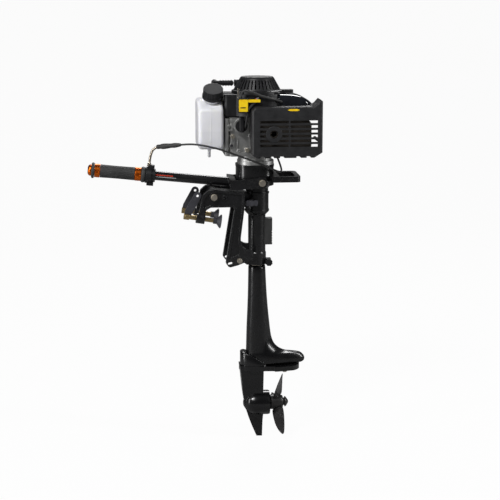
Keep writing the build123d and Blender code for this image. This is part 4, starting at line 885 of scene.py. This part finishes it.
def makeLeg():
    # The leg as one smooth casting: round at the collar, drop-shaped lower down, sweeping aft into the snout.
    # height, front, back, half width, how narrow the tail is
    rows = [
        (-163.5, 72.5, 117.5, 22.5, 1.0), (-166, 72.3, 117.7, 22.6, 1.0), (-200, 72, 119.2, 22.7, 1.0),
            (-250, 71, 122, 23.0, 1.0),
        (-290, 69.5, 125.6, 23.5, 1.02), (-320, 68, 128.8, 24.0, 1.06), (-345, 67.2, 131.6, 24.4, 1.12),
            (-362, 66.8, 134.2, 24.8, 1.22),
        (-375, 66.5, 138.6, 25.1, 1.36), (-384, 66.3, 144.2, 25.4, 1.46), (-391.5, 66.1, 152.0, 25.7, 1.5),
            (-397, 66.0, 161.5, 26.0, 1.46),
        (-400.8, 65.9, 172.0, 26.3, 1.36), (-403.2, 65.8, 184, 26.6, 1.24), (-404.6, 65.7, 196, 26.9, 1.12),
            (-405.6, 65.6, 207, 27.2, 1.0),
        (-407.2, 65.6, 213.5, 27.5, 0.94), (-411, 65.6, 218.5, 28.0, 0.9), (-417, 65.6, 223.6, 28.6, 0.87),
            (-424, 65.6, 225.8, 29.0, 0.85),
        (-430, 65.6, 223.6, 29.0, 0.85), (-436.9, 65.6, 219.5, 29.0, 0.85),
    ]
    count = 56
    rings = []
    for z, front, back, half, tail in rows:
        middle = 97.0 + max(0.0, (-345 - z)) * 0.09
        ring = []
        for i in range(count):
            angle = 2 * math.pi * i / count
            c = math.cos(angle)
            s = math.sin(angle)
            if c < 0:
                x = middle + (middle - front) * c
                y = half * s
            else:
                x = middle + (back - middle) * c
                y = half * math.copysign(abs(s) ** tail, s)
                ease = (x - middle) / (back - middle)
                y *= 1 - 0.18 * max(0.0, ease) ** 2 * (1 if z < -345 else 0)
            ring.append(Vector((x, y, z)) * mm)
        rings.append(ring)
    bm = bmesh.new()
    skin(bm, rings)
    makePiece("leg_casting", bm, black["legPaint"], "motor", "column_leg", 1)
    bm = bmesh.new()
    # flange that the gearcase bolts to
    flange = []
    for k in range(64):
        angle = 2 * math.pi * k / 64
        c = math.cos(angle)
        s = math.sin(angle)
        x = 95 + (45 if c < 0 else 34) * c
        y = 32.0 * math.copysign(abs(s) ** 0.85, s)
        flange.append((x, y))
    centre = Vector((95, 0))
    layers = ((0.0, 0.0), (0.03, 0.0), (0.94, 0.0), (0.98, 0.6), (1.0, 2.0))

    def slopeTop(x):
        # The flange rises towards the leading edge.
        line = ((40, -397.4), (58, -400.4), (84, -410.4), (106, -424.0), (130, -426.0))
        for (x0, z0), (x1, z1) in zip(line, line[1:]):
            if x <= x1:
                return z0 + (z1 - z0) * max(0.0, (x - x0) / (x1 - x0))
        return line[-1][1]
    rings = []
    for share, inset in layers:
        rings.append([Vector((p[0] + (centre[0] - p[0]) * inset / 40, p[1] * (1 - inset / 32),
                              -436.9 + (slopeTop(p[0]) + 436.9) * share)) * mm for p in flange])
    skin(bm, rings)
    makePiece("leg_flange", bm, black["legPaint"], "motor", "", 0, 50)
    bm = bmesh.new()
    turned(bm, Vector((95, 0, 36)) * mm, Vector((0, 0, -1)),
        [(0, 17.8), (0.4, 18.0), (199, 18.0), (199.5, 17.8)], 48)
    makePiece("leg_tube", bm, bright["steel"], "motor", "")


makeLeg()

# propeller

propeller = {"radius": 94.0, "height": -546.0, "blades": 3, "firstTurn": 20.6}


def makePropeller():
    # Three twisted weedless blades on a drum hub.
    axis = Vector((1, 0, 0))
    centreZ = propeller["height"]
    radius = propeller["radius"]
    # share of the radius, middle along X, chord, thickness, pitch angle
    stations = [
        (0.18, 150.5, 32.0, 6.5, 52.0), (0.25, 150.8, 36.5, 5.9, 48.0), (0.34, 151.6, 40.6, 5.0, 41.0),
            (0.46, 152.6, 42.6, 4.3, 35.6),
        (0.58, 153.6, 42.4, 3.6, 32.0), (0.70, 155.0, 38.6, 3.0, 29.2), (0.82, 157.0, 31.0, 2.4, 27.0),
            (0.91, 158.8, 21.0, 1.9, 26.0),
        (0.965, 160.0, 12.6, 1.5, 25.4), (0.993, 160.5, 6.0, 1.2, 25.0),
    ]
    bm = bmesh.new()
    for number in range(propeller["blades"]):
        turn = math.radians(propeller["firstTurn"] + 360 / propeller["blades"] * number)
        out = Vector((0, -math.sin(turn), math.cos(turn)))
        rings = []
        for share, along, chord, thick, pitch in stations:
            centre = Vector((along, 0, centreZ)) + out * (share * radius)
            a = math.radians(pitch)
            flat = Vector((math.sin(a), 0, 0)) + out.cross(axis) * math.cos(a)
            across = out.cross(flat).normalized()
            ring = []
            for k in range(28):
                angle = 2 * math.pi * k / 28
                u = math.cos(angle) * chord / 2
                v = math.sin(angle) * thick / 2 * (1 - 0.35 * math.cos(angle))
                ring.append((centre + flat * u + across * v) * mm)
            rings.append(ring)
        skin(bm, rings)
    hub = [(130.5, 6.3), (130.5, 18.4), (131.2, 19.3), (133, 20.1), (138, 20.3), (150, 20.0), (158, 19.4),
        (163, 18.0), (165.2, 16.9), (166, 15.6), (166, 6.3)]
    turned(bm, Vector((0, 0, centreZ)) * mm, axis, hub, 64)
    makePiece("propeller_blades", bm, black["propPaint"], "screw_propeller", "propeller", 1)


makePropeller()
print("lower unit done")

# cylinder hood

hood = {"half": 59.8, "low": 234.2, "wall": 2.4, "corner": 16.0, "across": 36}


def makeHood():
    # The polished hood: a crowned shell that rolls over at its aft and side edges.
    profile = [
        # x, top height
        (141.7, 290.2), (150, 290.3), (160, 290.2), (172, 289.8), (184, 288.8), (196, 286.6), (207, 283.2),
        (217, 278.8), (226, 273.0), (234, 265.6), (240, 257.0), (244.4, 247.0), (246.4, 238.0), (246.8, 234.2),
    ]
    half, low, count = hood["half"], hood["low"], hood["across"]
    bm = bmesh.new()
    for inset, flip in ((0.0, False), (hood["wall"], True)):
        rows = []
        for x, top in profile:
            top -= inset
            x = x if inset == 0 else min(x, 244.2)
            ring = []
            roundness = min(hood["corner"], (top - low) * 0.8)
            narrow = 0.0 if x < 205 else ((x - 205) / 42) ** 2.4 * 17.0
            w = half - inset - narrow
            for k in range(count + 1):
                t = k / count
                if t < 0.22:
                    y, z = -w, low + (top - roundness - low) * t / 0.22
                elif t < 0.36:
                    a = (t - 0.22) / 0.14 * math.pi / 2
                    y, z = -w + roundness * (1 - math.cos(a)), top - roundness * (1 - math.sin(a))
                elif t <= 0.64:
                    s = (t - 0.36) / 0.28
                    y, z = (-w + roundness) + (2 * w - 2 * roundness) * s, top
                elif t < 0.78:
                    a = (t - 0.64) / 0.14 * math.pi / 2
                    y, z = w - roundness * (1 - math.sin(a)), top - roundness * (1 - math.cos(a))
                else:
                    y, z = w, top - roundness - (top - roundness - low) * (t - 0.78) / 0.22
                ring.append(bm.verts.new(Vector((x, y, z)) * mm))
            rows.append(ring)
        for a, b in zip(rows, rows[1:]):
            for i in range(count):
                face = (a[i], a[i + 1], b[i + 1], b[i])
                bm.faces.new(face if not flip else tuple(reversed(face)))
        if flip:
            inner = rows
        else:
            outer = rows
    rims = []
    for rows in (outer, inner):
        farSide = [r[-1] for r in rows[1:]]
        nearSide = [r[0] for r in reversed(rows[1:-1])]
        rims.append(rows[0] + farSide + list(reversed(rows[-1][:-1])) + nearSide)
    rimOut, rimIn = rims
    n = len(rimOut)
    for i in range(n):
        j = (i + 1) % n
        bm.faces.new((rimOut[i], rimOut[j], rimIn[j], rimIn[i]))
    makePiece("hood_shell", bm, black["hood"], "motor", "cylinder_shroud", 1)


makeHood()
print("hood done")
